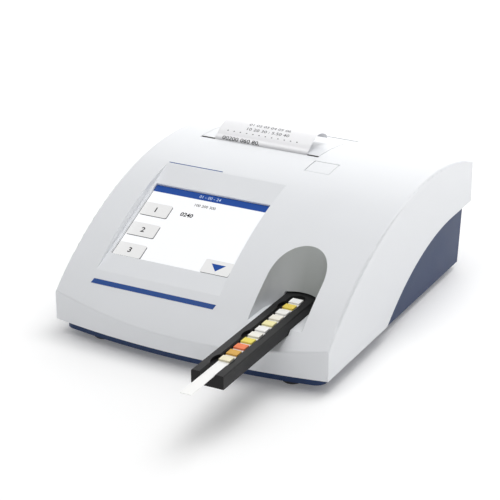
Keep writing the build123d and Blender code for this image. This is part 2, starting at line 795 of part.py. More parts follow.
with BuildPart() as sensor_board:
    with BuildSketch(Plane.XY.offset(head_top)):
        with Locations((tray_x, head_y)):
            Rectangle(head_width, head_length)
    extrude(amount=1.2)
    with BuildSketch(Plane.XY.offset(head_top)):
        with Locations((tray_x, read_y)):
            Rectangle(2.6, 2.6)
    extrude(amount=-1.5)
write(sensor_board, "sensor_board")

# ---- printer frame -------------------------------------------------------------------------------------------------
platen_y = front + platen_run
roll_y = front + roll_run
trough_radius = roll_radius + cover_gap
cheek_left = lid_left - 0.1 - cheek
cheek_right = lid_right + 0.6
printer_front = front + printer_front_run
latch_y = front + latch_run
paper_line = platen_y - platen_radius - cover_gap - paper_thickness
head_face = paper_line - cover_gap
feed_distance = (platen_gear_teeth + feed_gear_teeth) * fine_module / 2
feed_y = platen_y + feed_distance * cos(radians(feed_angle))
feed_z = platen_z + feed_distance * sin(radians(feed_angle))
finger_left = printer_x + lid_width / 2 - 2.9
finger_width = 2.2
rib_left = paper_x - paper_width / 2 - 1
rib_right = paper_x + paper_width / 2 + 2
shelf_top = shelf_z + shelf_thickness
shelf_right = button_x + button_width / 2

with BuildPart() as printer_frame:
    # cheeks: the right one reaches forward to carry the button's shelf
    with BuildSketch(Plane.XY.offset(latch_z - 8)):
        with Locations((cheek_left, printer_front)):
            Rectangle(cheek, opening_rear - printer_front, align=(Align.MIN, Align.MIN))
        with Locations((cheek_right, button_y - button_length / 2)):
            Rectangle(cheek, opening_rear - button_y + button_length / 2, align=(Align.MIN, Align.MIN))
    extrude(amount=reach / 4)
    with BuildSketch(Plane.XY.offset(floor_top)):
        for cheek_x in (cheek_left, cheek_right):
            with Locations((cheek_x, roll_y - 22)):
                Rectangle(cheek, 42, align=(Align.MIN, Align.MIN))
    extrude(amount=latch_z)
    # trough for the paper roll
    with BuildSketch(Plane.YZ.offset(cheek_left)):
        with Locations((roll_y, roll_z)):
            Circle(trough_radius + trough_wall)
        with Locations((roll_y, roll_z)):
            Rectangle(2 * (trough_radius + trough_wall), 8, align=(Align.CENTER, Align.MIN))
    extrude(amount=cheek_right + cheek - cheek_left)
    # beam and rib that carry the print head
    with BuildSketch(Plane.YZ.offset(cheek_left)):
        with Locations((printer_front, latch_z - 5.5)):
            Rectangle(roll_y - printer_front, 2, align=(Align.MIN, Align.MIN))
    extrude(amount=cheek_right + cheek - cheek_left)
    with BuildSketch(Plane.YZ.offset(rib_left)):
        with Locations((head_face - head_plate, latch_z - 5.5)):
            Rectangle(2.4, latch_finger_top - latch_z + 5.5, align=(Align.MAX, Align.MIN))
    extrude(amount=rib_right - rib_left)
    # space of the roll, open at the top
    with BuildSketch(Plane.YZ.offset(cheek_left + cheek)):
        with Locations((roll_y, roll_z)):
            Circle(trough_radius)
            Rectangle(2 * trough_radius, reach / 4, align=(Align.CENTER, Align.MIN))
    extrude(amount=cheek_right - cheek_left - cheek, mode=Mode.SUBTRACT)
    # shelf under the button, with a lug for the latch pin
    with BuildSketch(Plane.XY.offset(shelf_z)):
        with Locations((cheek_right, button_y - button_length / 2)):
            Rectangle(shelf_right - cheek_right, button_length - 0.6, align=(Align.MIN, Align.MIN))
    extrude(amount=shelf_thickness)
    with BuildSketch(Plane.YZ.offset(button_x + 2.2)):
        with Locations((latch_y - 6, latch_z - 4)):
            Rectangle(9, shelf_top - latch_z + 4, align=(Align.MIN, Align.MIN))
    extrude(amount=1.8)
    with BuildSketch(Plane.YZ.offset(finger_left - 2.0)):
        with Locations((latch_y - 3, latch_z - 5)):
            Rectangle(6, 8, align=(Align.MIN, Align.MIN))
    extrude(amount=1.6)
    # keep clear of the cover's inside
    add(arched_block(wall + cover_gap, wall + cover_gap, wall + cover_gap, wall + cover_gap, 0),
        mode=Mode.INTERSECT)
    with BuildSketch(Plane.XY.offset(arch_height(button_y) - button_depth - button_travel - 2 * fit_gap)):
        with Locations((button_x, button_y)):
            Rectangle(button_width + 2 * fit_gap, button_length + 2 * fit_gap)
    extrude(amount=20, mode=Mode.SUBTRACT)
    # bores: hinge pin, feed motor shaft, latch hub and pin, button stem
    with BuildSketch(Plane.YZ.offset(cheek_left - 1)):
        with Locations((hinge_y, hinge_z)):
            Circle(hinge_pin_radius + pin_gap)
    extrude(amount=cheek_right + cheek - cheek_left + 2, mode=Mode.SUBTRACT)
    with BuildSketch(Plane.YZ.offset(cheek_left - 1)):
        with Locations((feed_y, feed_z)):
            Circle(motor_shaft_radius + fit_gap)
    extrude(amount=cheek + 2, mode=Mode.SUBTRACT)
    with BuildSketch(Plane.YZ.offset(cheek_right - 0.5)):
        with Locations((latch_y, latch_z)):
            Circle(latch_hub + fit_gap)
    extrude(amount=cheek + 1, mode=Mode.SUBTRACT)
    with BuildSketch(Plane.YZ.offset(finger_left - 3)):
        with Locations((latch_y, latch_z)):
            Circle(latch_pin_radius + pin_gap)
    extrude(amount=reach / 8, mode=Mode.SUBTRACT)
    with BuildSketch(Plane.XY.offset(shelf_z)):
        with Locations((button_x, button_y)):
            Circle(stem_radius + fit_gap)
    extrude(amount=shelf_thickness, mode=Mode.SUBTRACT)
write(printer_frame, "printer_frame")

with BuildPart() as thermal_head:
    with BuildSketch(Plane.YZ.offset(rib_left)):
        with Locations((head_face, latch_z + 2)):
            Rectangle(head_plate, latch_finger_top - latch_z - 2, align=(Align.MAX, Align.MIN))
    extrude(amount=paper_width + 1)
write(thermal_head, "thermal_head")

# ---- printer lid with ears for the platen ------------------------------------------------------------------------------
lid_gap = 0.25
ear_left = lid_left + 0.5
ear_width = 1.8
ear_right = finger_left
with BuildPart() as printer_lid:
    with BuildSketch(Plane.YZ.offset(lid_left + lid_gap)):
        with BuildLine():
            lid_corner = (lid_front, arch_height(lid_front))
            lid_end = (hinge_y, arch_height(hinge_y))
            middle_y = (lid_front + hinge_y) / 2
            ThreePointArc(lid_corner, (middle_y, arch_height(middle_y)), lid_end)
            inner_end = (hinge_y, arch_height(hinge_y, wall))
            inner_corner = (lid_front, arch_height(lid_front, wall))
            Line(lid_end, inner_end)
            ThreePointArc(inner_end, (middle_y, arch_height(middle_y, wall)), inner_corner)
            Line(inner_corner, lid_corner)
        make_face()
        with Locations((hinge_y, hinge_z)):
            Circle(hinge_barrel)
    extrude(amount=lid_width - 2 * lid_gap)
    with BuildSketch(Plane.YZ.offset(ear_left)):
        with Locations((platen_y, platen_z)):
            Circle(shaft_radius + 2.0)
            Rectangle(2 * shaft_radius + 4.0, arch_peak - wall - platen_z, align=(Align.CENTER, Align.MIN))
    extrude(amount=ear_width)
    with BuildSketch(Plane.YZ.offset(ear_right)):
        with Locations((platen_y, platen_z)):
            Circle(shaft_radius + 2.0)
            Rectangle(2 * shaft_radius + 4.0, arch_peak - wall - platen_z, align=(Align.CENTER, Align.MIN))
    extrude(amount=ear_width)
    with BuildSketch(Plane.YZ.offset(lid_left - 1)):
        with Locations((hinge_y, hinge_z)):
            Circle(hinge_pin_radius + pin_gap)
        with Locations((platen_y, platen_z)):
            Circle(shaft_radius + pin_gap)
    extrude(amount=lid_width + 2, mode=Mode.SUBTRACT)
write(printer_lid, "printer_lid")

with BuildPart() as lid_hinge_pin:
    with BuildSketch(Plane.YZ.offset(cheek_left - 0.5)):
        with Locations((hinge_y, hinge_z)):
            Circle(hinge_pin_radius)
    extrude(amount=cheek_right + cheek - cheek_left + 1.0)
write(lid_hinge_pin, "lid_hinge_pin")

with BuildPart() as platen_shaft:
    with BuildSketch(Plane.YZ.offset(ear_left)):
        with Locations((platen_y, platen_z)):
            Circle(shaft_radius)
    extrude(amount=ear_right + ear_width - ear_left)
write(platen_shaft, "platen_shaft")

platen_left = paper_x - paper_width / 2 - 0.8
with BuildPart() as platen_roller:
    with BuildSketch(Plane.YZ.offset(platen_left)):
        with Locations((platen_y, platen_z)):
            Circle(platen_radius)
            Circle(shaft_radius, mode=Mode.SUBTRACT)
    extrude(amount=paper_width + 1.6)
write(platen_roller, "platen_roller")

platen_gear_x = platen_left - 0.6 - gear_width
with BuildPart() as platen_gear:
    with BuildSketch(Plane.YZ.offset(platen_gear_x)):
        with Locations((platen_y, platen_z)):
            add(gear_blank(platen_gear_teeth, fine_module, feed_angle))
            Circle(shaft_radius, mode=Mode.SUBTRACT)
    extrude(amount=gear_width)
write(platen_gear, "platen_gear")

half_feed_tooth = 180 / feed_gear_teeth
with BuildPart() as feed_gear:
    with BuildSketch(Plane.YZ.offset(platen_gear_x)):
        with Locations((feed_y, feed_z)):
            add(gear_blank(feed_gear_teeth, fine_module, feed_angle + 180 + half_feed_tooth))
    extrude(amount=gear_width)
    with BuildSketch(Plane.YZ.offset(platen_gear_x)):
        with Locations((feed_y, feed_z)):
            Circle(motor_shaft_radius)
    extrude(amount=cheek_left - platen_gear_x - feed_motor_length / 2)
write(feed_gear, "feed_gear")

with BuildPart() as feed_motor:
    with BuildSketch(Plane.YZ.offset(cheek_left)):
        with Locations((feed_y, feed_z)):
            Circle(feed_motor_radius)
            Circle(motor_shaft_radius + pin_gap, mode=Mode.SUBTRACT)
    extrude(amount=-feed_motor_length)
write(feed_motor, "feed_motor")

# ---- paper: roll, core, web to the nip, and the printed slip -------------------------------------------------------------
with BuildPart() as paper_roll:
    with BuildSketch(Plane.YZ.offset(paper_x - paper_width / 2)):
        with Locations((roll_y, roll_z)):
            Circle(roll_radius)
            Circle(core_radius, mode=Mode.SUBTRACT)
    extrude(amount=paper_width)
write(paper_roll, "paper_roll")

with BuildPart() as roll_core:
    with BuildSketch(Plane.YZ.offset(paper_x - paper_width / 2)):
        with Locations((roll_y, roll_z)):
            Circle(core_radius)
            Circle(core_bore, mode=Mode.SUBTRACT)
    extrude(amount=paper_width)
write(roll_core, "roll_core")

roll_wrap = roll_radius + cover_gap
platen_wrap = platen_radius + cover_gap + paper_thickness / 2
span = sqrt((platen_y - roll_y) ** 2 + (platen_z - roll_z) ** 2)
centre_line = atan2(platen_z - roll_z, platen_y - roll_y)
web_angle = centre_line + asin((roll_wrap + platen_wrap) / span)
normal = (sin(web_angle), -cos(web_angle))
web_start = (roll_y + roll_wrap * normal[0], roll_z + roll_wrap * normal[1])
web_turn = (platen_y - platen_wrap * normal[0], platen_z - platen_wrap * normal[1])
web_middle = (platen_y - platen_wrap * cos(radians(50)), platen_z - platen_wrap * sin(radians(50)))
web_top = (platen_y - platen_wrap, platen_z)
with BuildPart() as paper_web:
    with BuildSketch(Plane.YZ.offset(paper_x - paper_width / 2)):
        with BuildLine():
            Line(web_start, web_turn)
            ThreePointArc(web_turn, web_middle, web_top)
            Line(web_top, (web_top[0], platen_z + 1.0))
        trace(line_width=paper_thickness)
    extrude(amount=paper_width)
write(paper_web, "paper_web")

# the slip curls up out of the slit and over the lid along these points, its end free
# (run behind the front corners, height over the arch there)
curl = [(129.2, 2.1), (131.8, 4.2), (138.0, 7.2), (142.5, 7.9), (146.4, 7.5), (150.8, 5.9)]
slip_end = (front + 152.2, arch_height(front + 152.2) + 3.6)
slip_exit = (web_top[0], arch_peak + 0.4)
with BuildPart() as printed_slip:
    with BuildSketch(Plane.YZ.offset(paper_x - paper_width / 2)):
        with BuildLine():
            Line((web_top[0], platen_z + 1.3), slip_exit)
            curl_points = [(front + run, arch_height(front + run) + over) for run, over in curl]
            Spline(slip_exit, *curl_points, slip_end, tangents=[(0.35, 1), (0.1, -1)])
        trace(line_width=paper_thickness)
    extrude(amount=paper_width)
write(printed_slip, "printed_slip")

# ---- lid button, spring and latch --------------------------------------------------------------------------------------------
button_gap = 0.3
button_low = arch_height(button_y) - button_depth
with BuildPart() as release_button:
    with BuildSketch(Plane.XY.offset(button_low)):
        with Locations((button_x, button_y)):
            Rectangle(button_width - 2 * button_gap, button_length - 2 * button_gap)
    extrude(amount=reach / 8)
    add(arched_block(0, 0, 0, 0, 0), mode=Mode.INTERSECT)
    top_edges = release_button.faces().filter_by(GeomType.CYLINDER).sort_by(Axis.Z)[-1].edges()
    fillet(top_edges, 0.4)
    with BuildSketch(Plane.XY.offset(button_low)):
        with Locations((button_x, button_y)):
            Circle(stem_radius)
    extrude(amount=latch_z + latch_hub / 2 + 0.3 - button_low)
write(release_button, "release_button")

spring_height = button_low - shelf_top - 0.2
with BuildPart() as button_spring:
    with BuildLine():
        coil_radius = spring_radius - spring_wire / 2
        coil = Helix((spring_height - spring_wire) / spring_turns, spring_height - spring_wire, coil_radius,
                     center=(button_x, button_y, shelf_top + 0.1 + spring_wire / 2))
    with BuildSketch(Plane(coil @ 0, z_dir=coil % 0)):
        Circle(spring_wire / 2)
    sweep()
write(button_spring, "button_spring")

arm_top = latch_z + latch_hub / 2
arm_x = button_x - 1.5
with BuildPart() as latch_lever:
    with BuildSketch(Plane.YZ.offset(finger_left)):
        with Locations((latch_y, latch_z)):
            Circle(latch_hub)
    extrude(amount=arm_x + 3.0 - finger_left)
    with BuildSketch(Plane.YZ.offset(finger_left)):
        with Locations((latch_y - 1.0, latch_z)):
            Rectangle(3.0, latch_finger_top - latch_z, align=(Align.MIN, Align.MIN))
    extrude(amount=finger_width)
    # nose that holds the lid's right ear
    with BuildSketch(Plane.YZ.offset(finger_left)):
        with BuildLine():
            Polyline(
                (latch_y + 1, platen_z - 2.5), (latch_y + latch_nose_reach, platen_z - 0.8),
                (latch_y + latch_nose_reach, platen_z + 0.8), (latch_y + 1, platen_z + 2.5), close=True)
        make_face()
    extrude(amount=finger_width)
    with BuildSketch(Plane.YZ.offset(arm_x)):
        with Locations((latch_y, arm_top)):
            Rectangle(latch_arm_reach, 2.6, align=(Align.MAX, Align.MAX))
    extrude(amount=3.0)
    with BuildSketch(Plane.YZ.offset(finger_left - 1)):
        with Locations((latch_y, latch_z)):
            Circle(latch_pin_radius + pin_gap)
    extrude(amount=reach / 8, mode=Mode.SUBTRACT)
write(latch_lever, "latch_lever")

with BuildPart() as latch_pin:
    with BuildSketch(Plane.YZ.offset(finger_left - 2.0)):
        with Locations((latch_y, latch_z)):
            Circle(latch_pin_radius)
    extrude(amount=button_x + 4.0 - finger_left + 2.0)
write(latch_pin, "latch_pin")

# ---- cells, contacts and the sliding door under them ----------------------------------------------------------------------------
cell_z = base_bottom + door_thickness + 0.8 + cell_radius
with BuildPart() as battery_cells:
    for index in range(cell_count):
        cell_x = cells_x + (index - (cell_count - 1) / 2) * cell_pitch
        way = 1 if index % 2 else -1
        can_start = bay_y - way * (cell_length + cell_nub_length) / 2
        with BuildSketch(Plane((cell_x, can_start, cell_z), x_dir=(1, 0, 0), z_dir=(0, way, 0))):
            Circle(cell_radius)
        extrude(amount=cell_length)
        with BuildSketch(Plane((cell_x, can_start, cell_z), x_dir=(1, 0, 0), z_dir=(0, way, 0))):
            Circle(cell_nub_radius)
        extrude(amount=cell_length + cell_nub_length)
write(battery_cells, "battery_cells")

with BuildPart() as battery_contacts:
    for end in (-1, 1):
        contact_y = bay_y + end * bay_length / 2
        contact_plane = Plane((cells_x, contact_y, cell_z), x_dir=(1, 0, 0), z_dir=(0, -end, 0))
        with BuildSketch(contact_plane):
            with GridLocations(cell_pitch, 1, cell_count, 1):
                Rectangle(9, 9)
        extrude(amount=contact_thickness)
write(battery_contacts, "battery_contacts")

with BuildPart() as battery_door:
    with BuildSketch(Plane.XY.offset(base_bottom)):
        with Locations((cells_x, bay_y)):
            Rectangle(door_width, door_length)
    extrude(amount=door_thickness)
    with BuildSketch(Plane.XY.offset(base_bottom + door_thickness / 2 - tongue_thickness / 2)):
        with Locations((cells_x, bay_y)):
            Rectangle(door_width + 2 * tongue_width, door_length - 20)
    extrude(amount=tongue_thickness)
    # grip grooves
    with BuildSketch(Plane.XY.offset(base_bottom)):
        with Locations((cells_x, bay_y - door_length / 2 + 12)):
            with GridLocations(1, 2.4, 1, 5):
                Rectangle(18, 1.2)
    extrude(amount=0.6, mode=Mode.SUBTRACT)
write(battery_door, "battery_door")

# ---- main board, its parts and the rear connectors ---------------------------------------------------------------------------------
board_top = main_board_z + board_thickness
board_front = board_y - main_board_length / 2
with BuildPart() as main_board:
    with BuildSketch(Plane.XY.offset(main_board_z)):
        with Locations((printer_x, board_y)):
            Rectangle(main_board_width, main_board_length)
            with GridLocations(2 * board_hole_x, 2 * board_hole_y, 2, 2):
                Circle(1.0 + pin_gap, mode=Mode.SUBTRACT)
    extrude(amount=board_thickness)
write(main_board, "main_board")

with BuildPart() as board_chips:
    with BuildSketch(Plane.XY.offset(board_top)):
        with Locations((printer_x - 8, board_y)):
            Rectangle(16, 16)
        with Locations((printer_x + 14, board_y + 4)):
            Rectangle(11, 8)
        with Locations((display_x, board_front + 8)):
            Rectangle(24, 5)
    extrude(amount=1.8)
    with BuildSketch(Plane.XY.offset(board_top)):
        with Locations((printer_x + 24, board_y - 18), (printer_x + 24, board_y - 6)):
            Circle(3.15)
        with Locations((printer_x - 24, board_y - 14)):
            Circle(6.0)
    extrude(amount=9.0)
write(board_chips, "board_chips")

with BuildPart() as board_screws:
    with BuildSketch(Plane.XY.offset(board_top)):
        with Locations((printer_x, board_y)):
            with GridLocations(2 * board_hole_x, 2 * board_hole_y, 2, 2):
                Circle(1.9)
    extrude(amount=1.4)
    with BuildSketch(Plane.XY.offset(board_top)):
        with Locations((printer_x, board_y)):
            with GridLocations(2 * board_hole_x, 2 * board_hole_y, 2, 2):
                Circle(1.0)
    extrude(amount=-(board_top - floor_top - 0.5))
write(board_screws, "board_screws")

board_rear = board_y + main_board_length / 2
panel_y = front + panel_run
with BuildPart() as serial_port:
    with BuildSketch(Plane.XY.offset(board_top)):
        with Locations((serial_x, board_rear - 8)):
            Rectangle(30.8, panel_y - board_rear + 8, align=(Align.CENTER, Align.MIN))
    extrude(amount=12.5)
    with BuildSketch(Plane.XZ.offset(-panel_y)):
        with Locations((serial_x, connector_z)):
            Trapezoid(17.0, 8.4, 80, rotation=180)
    extrude(amount=-5.0)
    with BuildSketch(Plane.XZ.offset(-panel_y - 5.0)):
        with Locations((serial_x, connector_z)):
            Trapezoid(16.0, 7.4, 80, rotation=180)
    extrude(amount=5.0, mode=Mode.SUBTRACT)
    with BuildSketch(Plane.XZ.offset(-panel_y)):
        with Locations((serial_x, connector_z)):
            with GridLocations(serial_spacing, 1, 2, 1):
                Circle(serial_screw_radius)
    extrude(amount=6.0, mode=Mode.SUBTRACT)
write(serial_port, "serial_port")

with BuildPart() as usb_port:
    with BuildSketch(Plane.XY.offset(board_top)):
        with Locations((usb_x, board_rear - 8)):
            Rectangle(12.0, panel_y - board_rear + 8, align=(Align.CENTER, Align.MIN))
    extrude(amount=11.0)
    with BuildSketch(Plane.XZ.offset(-panel_y)):
        with Locations((usb_x, board_top + 5.5)):
            Rectangle(8.5, 7.8)
            Rectangle(5.6, 3.2, mode=Mode.SUBTRACT)
    extrude(amount=8.5, mode=Mode.SUBTRACT)
write(usb_port, "usb_port")

with BuildPart() as power_jack:
    with BuildSketch(Plane.XY.offset(board_top)):
        with Locations((jack_x, board_rear - 8)):
            Rectangle(9.0, panel_y - board_rear + 8, align=(Align.CENTER, Align.MIN))
    extrude(amount=11.0)
    with BuildSketch(Plane.XZ.offset(-panel_y)):
        with Locations((jack_x, board_top + 5.5)):
            Circle(jack_bore)
            Circle(jack_pin, mode=Mode.SUBTRACT)
    extrude(amount=jack_depth, mode=Mode.SUBTRACT)
write(power_jack, "power_jack")

# ---- ribbon between the display board and the main board --------------------------------------------------------------------------------
plug_low = facet.from_local_coords((0, display_board_height / 2 - 8, display_board_top - board_thickness - 2.0))
ribbon_top = (plug_low.Y, plug_low.Z - 0.2)
ribbon_low = (board_front + 8, board_top + 1.8 + 0.2)
with BuildPart() as display_ribbon:
    with BuildSketch(Plane.YZ.offset(display_x - 10)):
        with BuildLine():
            FilletPolyline(
                ribbon_top, (ribbon_top[0], ribbon_top[1] - 14), (ribbon_low[0], ribbon_low[1] + 16),
                ribbon_low, radius=5)
        trace(line_width=0.5)
    extrude(amount=20)
write(display_ribbon, "display_ribbon")
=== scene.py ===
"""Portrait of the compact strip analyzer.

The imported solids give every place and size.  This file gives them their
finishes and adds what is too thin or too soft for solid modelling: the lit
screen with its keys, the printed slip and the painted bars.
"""
from __future__ import annotations

import json
import logging
from collections.abc import Callable, Sequence
from dataclasses import dataclass, field
from enum import Enum
from math import atan2, cos, pi, radians, sin, sqrt

import bpy
import numpy as np
from mathutils import Matrix, Vector

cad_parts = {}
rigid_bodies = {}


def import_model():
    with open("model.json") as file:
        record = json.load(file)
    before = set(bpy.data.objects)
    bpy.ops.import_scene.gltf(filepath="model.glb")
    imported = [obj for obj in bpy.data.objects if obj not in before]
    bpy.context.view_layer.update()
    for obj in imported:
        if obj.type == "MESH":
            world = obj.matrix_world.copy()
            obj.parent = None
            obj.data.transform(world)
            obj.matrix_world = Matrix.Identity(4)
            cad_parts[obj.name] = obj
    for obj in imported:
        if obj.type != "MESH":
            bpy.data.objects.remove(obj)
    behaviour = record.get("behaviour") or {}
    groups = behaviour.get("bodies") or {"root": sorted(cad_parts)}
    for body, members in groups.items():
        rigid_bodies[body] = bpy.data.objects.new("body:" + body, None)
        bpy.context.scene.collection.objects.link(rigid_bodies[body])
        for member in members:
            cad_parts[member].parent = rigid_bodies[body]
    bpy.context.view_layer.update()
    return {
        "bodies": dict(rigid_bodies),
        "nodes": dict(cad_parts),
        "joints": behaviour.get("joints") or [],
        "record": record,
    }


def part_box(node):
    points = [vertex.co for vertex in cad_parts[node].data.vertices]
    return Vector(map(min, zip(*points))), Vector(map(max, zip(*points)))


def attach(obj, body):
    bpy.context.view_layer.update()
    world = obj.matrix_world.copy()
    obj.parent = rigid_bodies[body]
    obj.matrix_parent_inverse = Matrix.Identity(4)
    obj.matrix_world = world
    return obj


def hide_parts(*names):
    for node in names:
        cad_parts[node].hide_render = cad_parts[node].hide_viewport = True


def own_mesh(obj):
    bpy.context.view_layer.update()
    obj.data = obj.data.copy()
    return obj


LOG = logging.getLogger("analyzer")
MM = 0.001
Array = np.ndarray
Place = Callable[[Array, Array, Array], Array]
Colour = tuple[float, float, float]


def screen_colour(red: int, green: int, blue: int) -> Colour:
    """Turn a display colour into the linear values that shaders use.

    Args:
        red: Red as shown on a display, 0 to 255.
        green: Green as shown on a display.
        blue: Blue as shown on a display.

    Returns:
        Linear red, green and blue, each 0 to 1.
    """
    shown = np.array([red, green, blue]) / 255
    linear = np.where(shown <= 0.04045, shown / 12.92, ((shown + 0.055) / 1.055) ** 2.4)
    return tuple(float(value) for value in linear)


# ---- shader building -------------------------------------------------------


class Wire:
    """A number that leaves a shader node and takes part in arithmetic."""

    def __init__(self, shop: Workshop, socket: bpy.types.NodeSocket) -> None:
        """Keep the socket and the workshop that adds nodes to its tree."""
        self.shop = shop
        self.socket = socket

    def _math(self, operation: str, *values: Wire | float) -> Wire:
        """Add one Math node and return what leaves it."""
        inputs = dict(enumerate(values))
        return self.shop.wire("ShaderNodeMath", {"operation": operation}, inputs)

    def __add__(self, other: Wire | float) -> Wire:
        """Sum."""
        return self._math("ADD", self, other)

    __radd__ = __add__

    def __sub__(self, other: Wire | float) -> Wire:
        """Difference."""
        return self._math("SUBTRACT", self, other)

    def __rsub__(self, other: float) -> Wire:
        """Difference from a plain number."""
        return self._math("SUBTRACT", other, self)

    def __mul__(self, other: Wire | float) -> Wire:
        """Product."""
        return self._math("MULTIPLY", self, other)

    __rmul__ = __mul__

    def __truediv__(self, other: Wire | float) -> Wire:
        """Quotient."""
        return self._math("DIVIDE", self, other)

    def __pow__(self, other: float) -> Wire:
        """Power."""
        return self._math("POWER", self, other)

    def __gt__(self, other: Wire | float) -> Wire:
        """One where this is larger, else nought."""
        return self._math("GREATER_THAN", self, other)

    def __lt__(self, other: Wire | float) -> Wire:
        """One where this is smaller, else nought."""
        return self._math("LESS_THAN", self, other)

    def __mod__(self, other: float) -> Wire:
        """Remainder that stays positive."""
        return self._math("FLOORED_MODULO", self, other)


class Workshop:
    """The node tree of one material."""

    def __init__(self, name: str) -> None:
        """Start a material with an empty tree, one shader and its output.

        Args:
            name: The material's name.
        """
        self.material = bpy.data.materials.new(name)
        self.material.use_nodes = True
        self.tree = self.material.node_tree
        self.tree.nodes.clear()
        self.shader = self.node("ShaderNodeBsdfPrincipled")
        self.output = self.node("ShaderNodeOutputMaterial", {}, {"Surface": self.shader.outputs[0]})

    def node(self, kind: str, settings: dict | None = None, values: dict | None = None) -> bpy.types.Node:
        """Add a node, set it up and feed it.

        Args:
            kind: Blender's name for the node type.
            settings: The node's own properties; "stops" fills a colour ramp.
            values: Input name or number to a plain value, a socket or a Wire.

        Returns:
            The new node.
        """
        made = self.tree.nodes.new(kind)
        for key, value in (settings or {}).items():
            if key == "stops":
                self._fill_ramp(made.color_ramp, value)
            elif key == "interpolation":
                made.color_ramp.interpolation = value
            else:
                setattr(made, key, value)
        for key, value in (values or {}).items():
            self.feed(made.inputs[key], value)
        return made

    def feed(self, target: bpy.types.NodeSocket, value: object) -> None:
        """Link a socket or Wire into an input, or set the input's own value."""
        if isinstance(value, Wire):
            value = value.socket
        if isinstance(value, bpy.types.NodeSocket):
            self.tree.links.new(value, target)
            return
        if isinstance(value, tuple) and len(value) == 3 and target.type == "RGBA":
            value = (*value, 1.0)
        target.default_value = value

    def wire(self, kind: str, settings: dict | None = None, values: dict | None = None,
             leaves: int | str = 0) -> Wire:
        """Add a node and return one of its outputs as a Wire."""
        return Wire(self, self.node(kind, settings, values).outputs[leaves])

    @staticmethod
    def _fill_ramp(ramp: bpy.types.ColorRamp, stops: Sequence[tuple[float, Colour]]) -> None:
        """Give a ramp its stops, from first to last."""
        while len(ramp.elements) < len(stops):
            ramp.elements.new(1.0)
        for element, (position, colour) in zip(ramp.elements, stops):
            element.position = position
            element.color = (*colour, 1.0)

    def place(self, axis: str | None = None) -> bpy.types.NodeSocket | Wire:
        """Object coordinates in metres, or one of them as a Wire."""
        spot = self.node("ShaderNodeTexCoord").outputs["Object"]
        if axis is None:
            return spot
        return self.wire("ShaderNodeSeparateXYZ", {}, {0: spot}, axis)

    def fade(self, axis: str, ends: tuple[float, float], most: float) -> Wire:
        """Falls evenly from most to nought between two places along an axis."""
        values = {0: self.place(axis), 1: ends[0], 2: ends[1], 3: most, 4: 0.0}
        return self.wire("ShaderNodeMapRange", {}, values)

    def noise(self, size: float, detail: float = 3.0, stretch: Colour = (1, 1, 1)) -> Wire:
        """Noise whose grains are about size metres wide, drawn out along stretch."""
        spot = self.place()
        if stretch != (1, 1, 1):
            spot = self.node("ShaderNodeMapping", {}, {0: spot, "Scale": stretch}).outputs[0]
        values = {"Vector": spot, "Scale": 1 / size, "Detail": detail}
        return self.wire("ShaderNodeTexNoise", {}, values, "Fac")

    def blend(self, factor: Wire | float, first: object, second: object) -> bpy.types.NodeSocket:
        """Mix two colours and return the socket."""
        mix = self.node("ShaderNodeMix", {"data_type": "RGBA"}, {0: factor, 6: first, 7: second})
        return mix.outputs[2]

    def bump(self, height: Wire, depth: float, strength: float = 1.0) -> None:
        """Raise the surface by height times depth metres."""
        values = {"Height": height, "Distance": depth, "Strength": strength}
        self.feed(self.shader.inputs["Normal"], self.node("ShaderNodeBump", {}, values).outputs[0])

    def set(self, **inputs: object) -> None:
        """Feed the shader's inputs, with underscores standing for blanks."""
        for key, value in inputs.items():
            self.feed(self.shader.inputs[key.replace("_", " ")], value)


def shaded(colour: Colour, factor: float) -> Colour:
    """A colour made lighter or darker by a factor."""
    return tuple(min(1.0, value * factor) for value in colour)


@dataclass(frozen=True)
class Finish:
    """One finish, built once and shared by every piece that has it."""

    name: str
    colour: Colour

    def build(self) -> bpy.types.Material:
        """Return this finish's material, made at the first call."""
        known = bpy.data.materials.get(self.name)
        if known:
            return known
        shop = Workshop(self.name)
        self.fill(shop)
        return shop.material

    def fill(self, shop: Workshop) -> None:
        """Set the shader; each kind of finish has its own way."""
        raise NotImplementedError


@dataclass(frozen=True)
class Moulded(Finish):
    """Moulded plastic: fine spark-eroded grain and faint cloudiness.

    The colour and roughness drift with slow noise; the bump is a fine noise.
    """

    roughness: float = 0.4
    grain: float = 0.35 * MM
    grain_depth: float = 0.012 * MM
    drift: float = 0.03
    coat: float = 0.0
    shine: float = 0.5

    def fill(self, shop: Workshop) -> None:
        """Colour with drift, roughness with drift, fine bump."""
        shop.set(Specular_IOR_Level=self.shine)
        clouds = shop.noise(30 * MM, 2.0)
        shop.set(Base_Color=shop.blend(clouds, shaded(self.colour, 1 - self.drift), self.colour))
        shop.set(Roughness=self.roughness + 0.12 * (clouds - 0.5), Coat_Weight=self.coat)
        shop.bump(shop.noise(self.grain, 2.0), self.grain_depth)


@dataclass(frozen=True)
class Rubber(Finish):
    """Dull rubber with a dusty bloom."""

    roughness: float = 0.85

    def fill(self, shop: Workshop) -> None:
        """Pale bloom over the dark base, with a soft bump."""
        bloom = shop.noise(1.5 * MM, 4.0)
        shop.set(Base_Color=shop.blend(bloom, self.colour, shaded(self.colour, 1.5)))
        shop.set(Roughness=self.roughness)
        shop.bump(bloom, 0.02 * MM)


class Lay(Enum):
    """Direction of the scratches left by machining."""

    ALONG_X = (0.04, 1.0, 1.0)
    ALONG_Y = (1.0, 0.04, 1.0)
    ALONG_Z = (1.0, 1.0, 0.04)


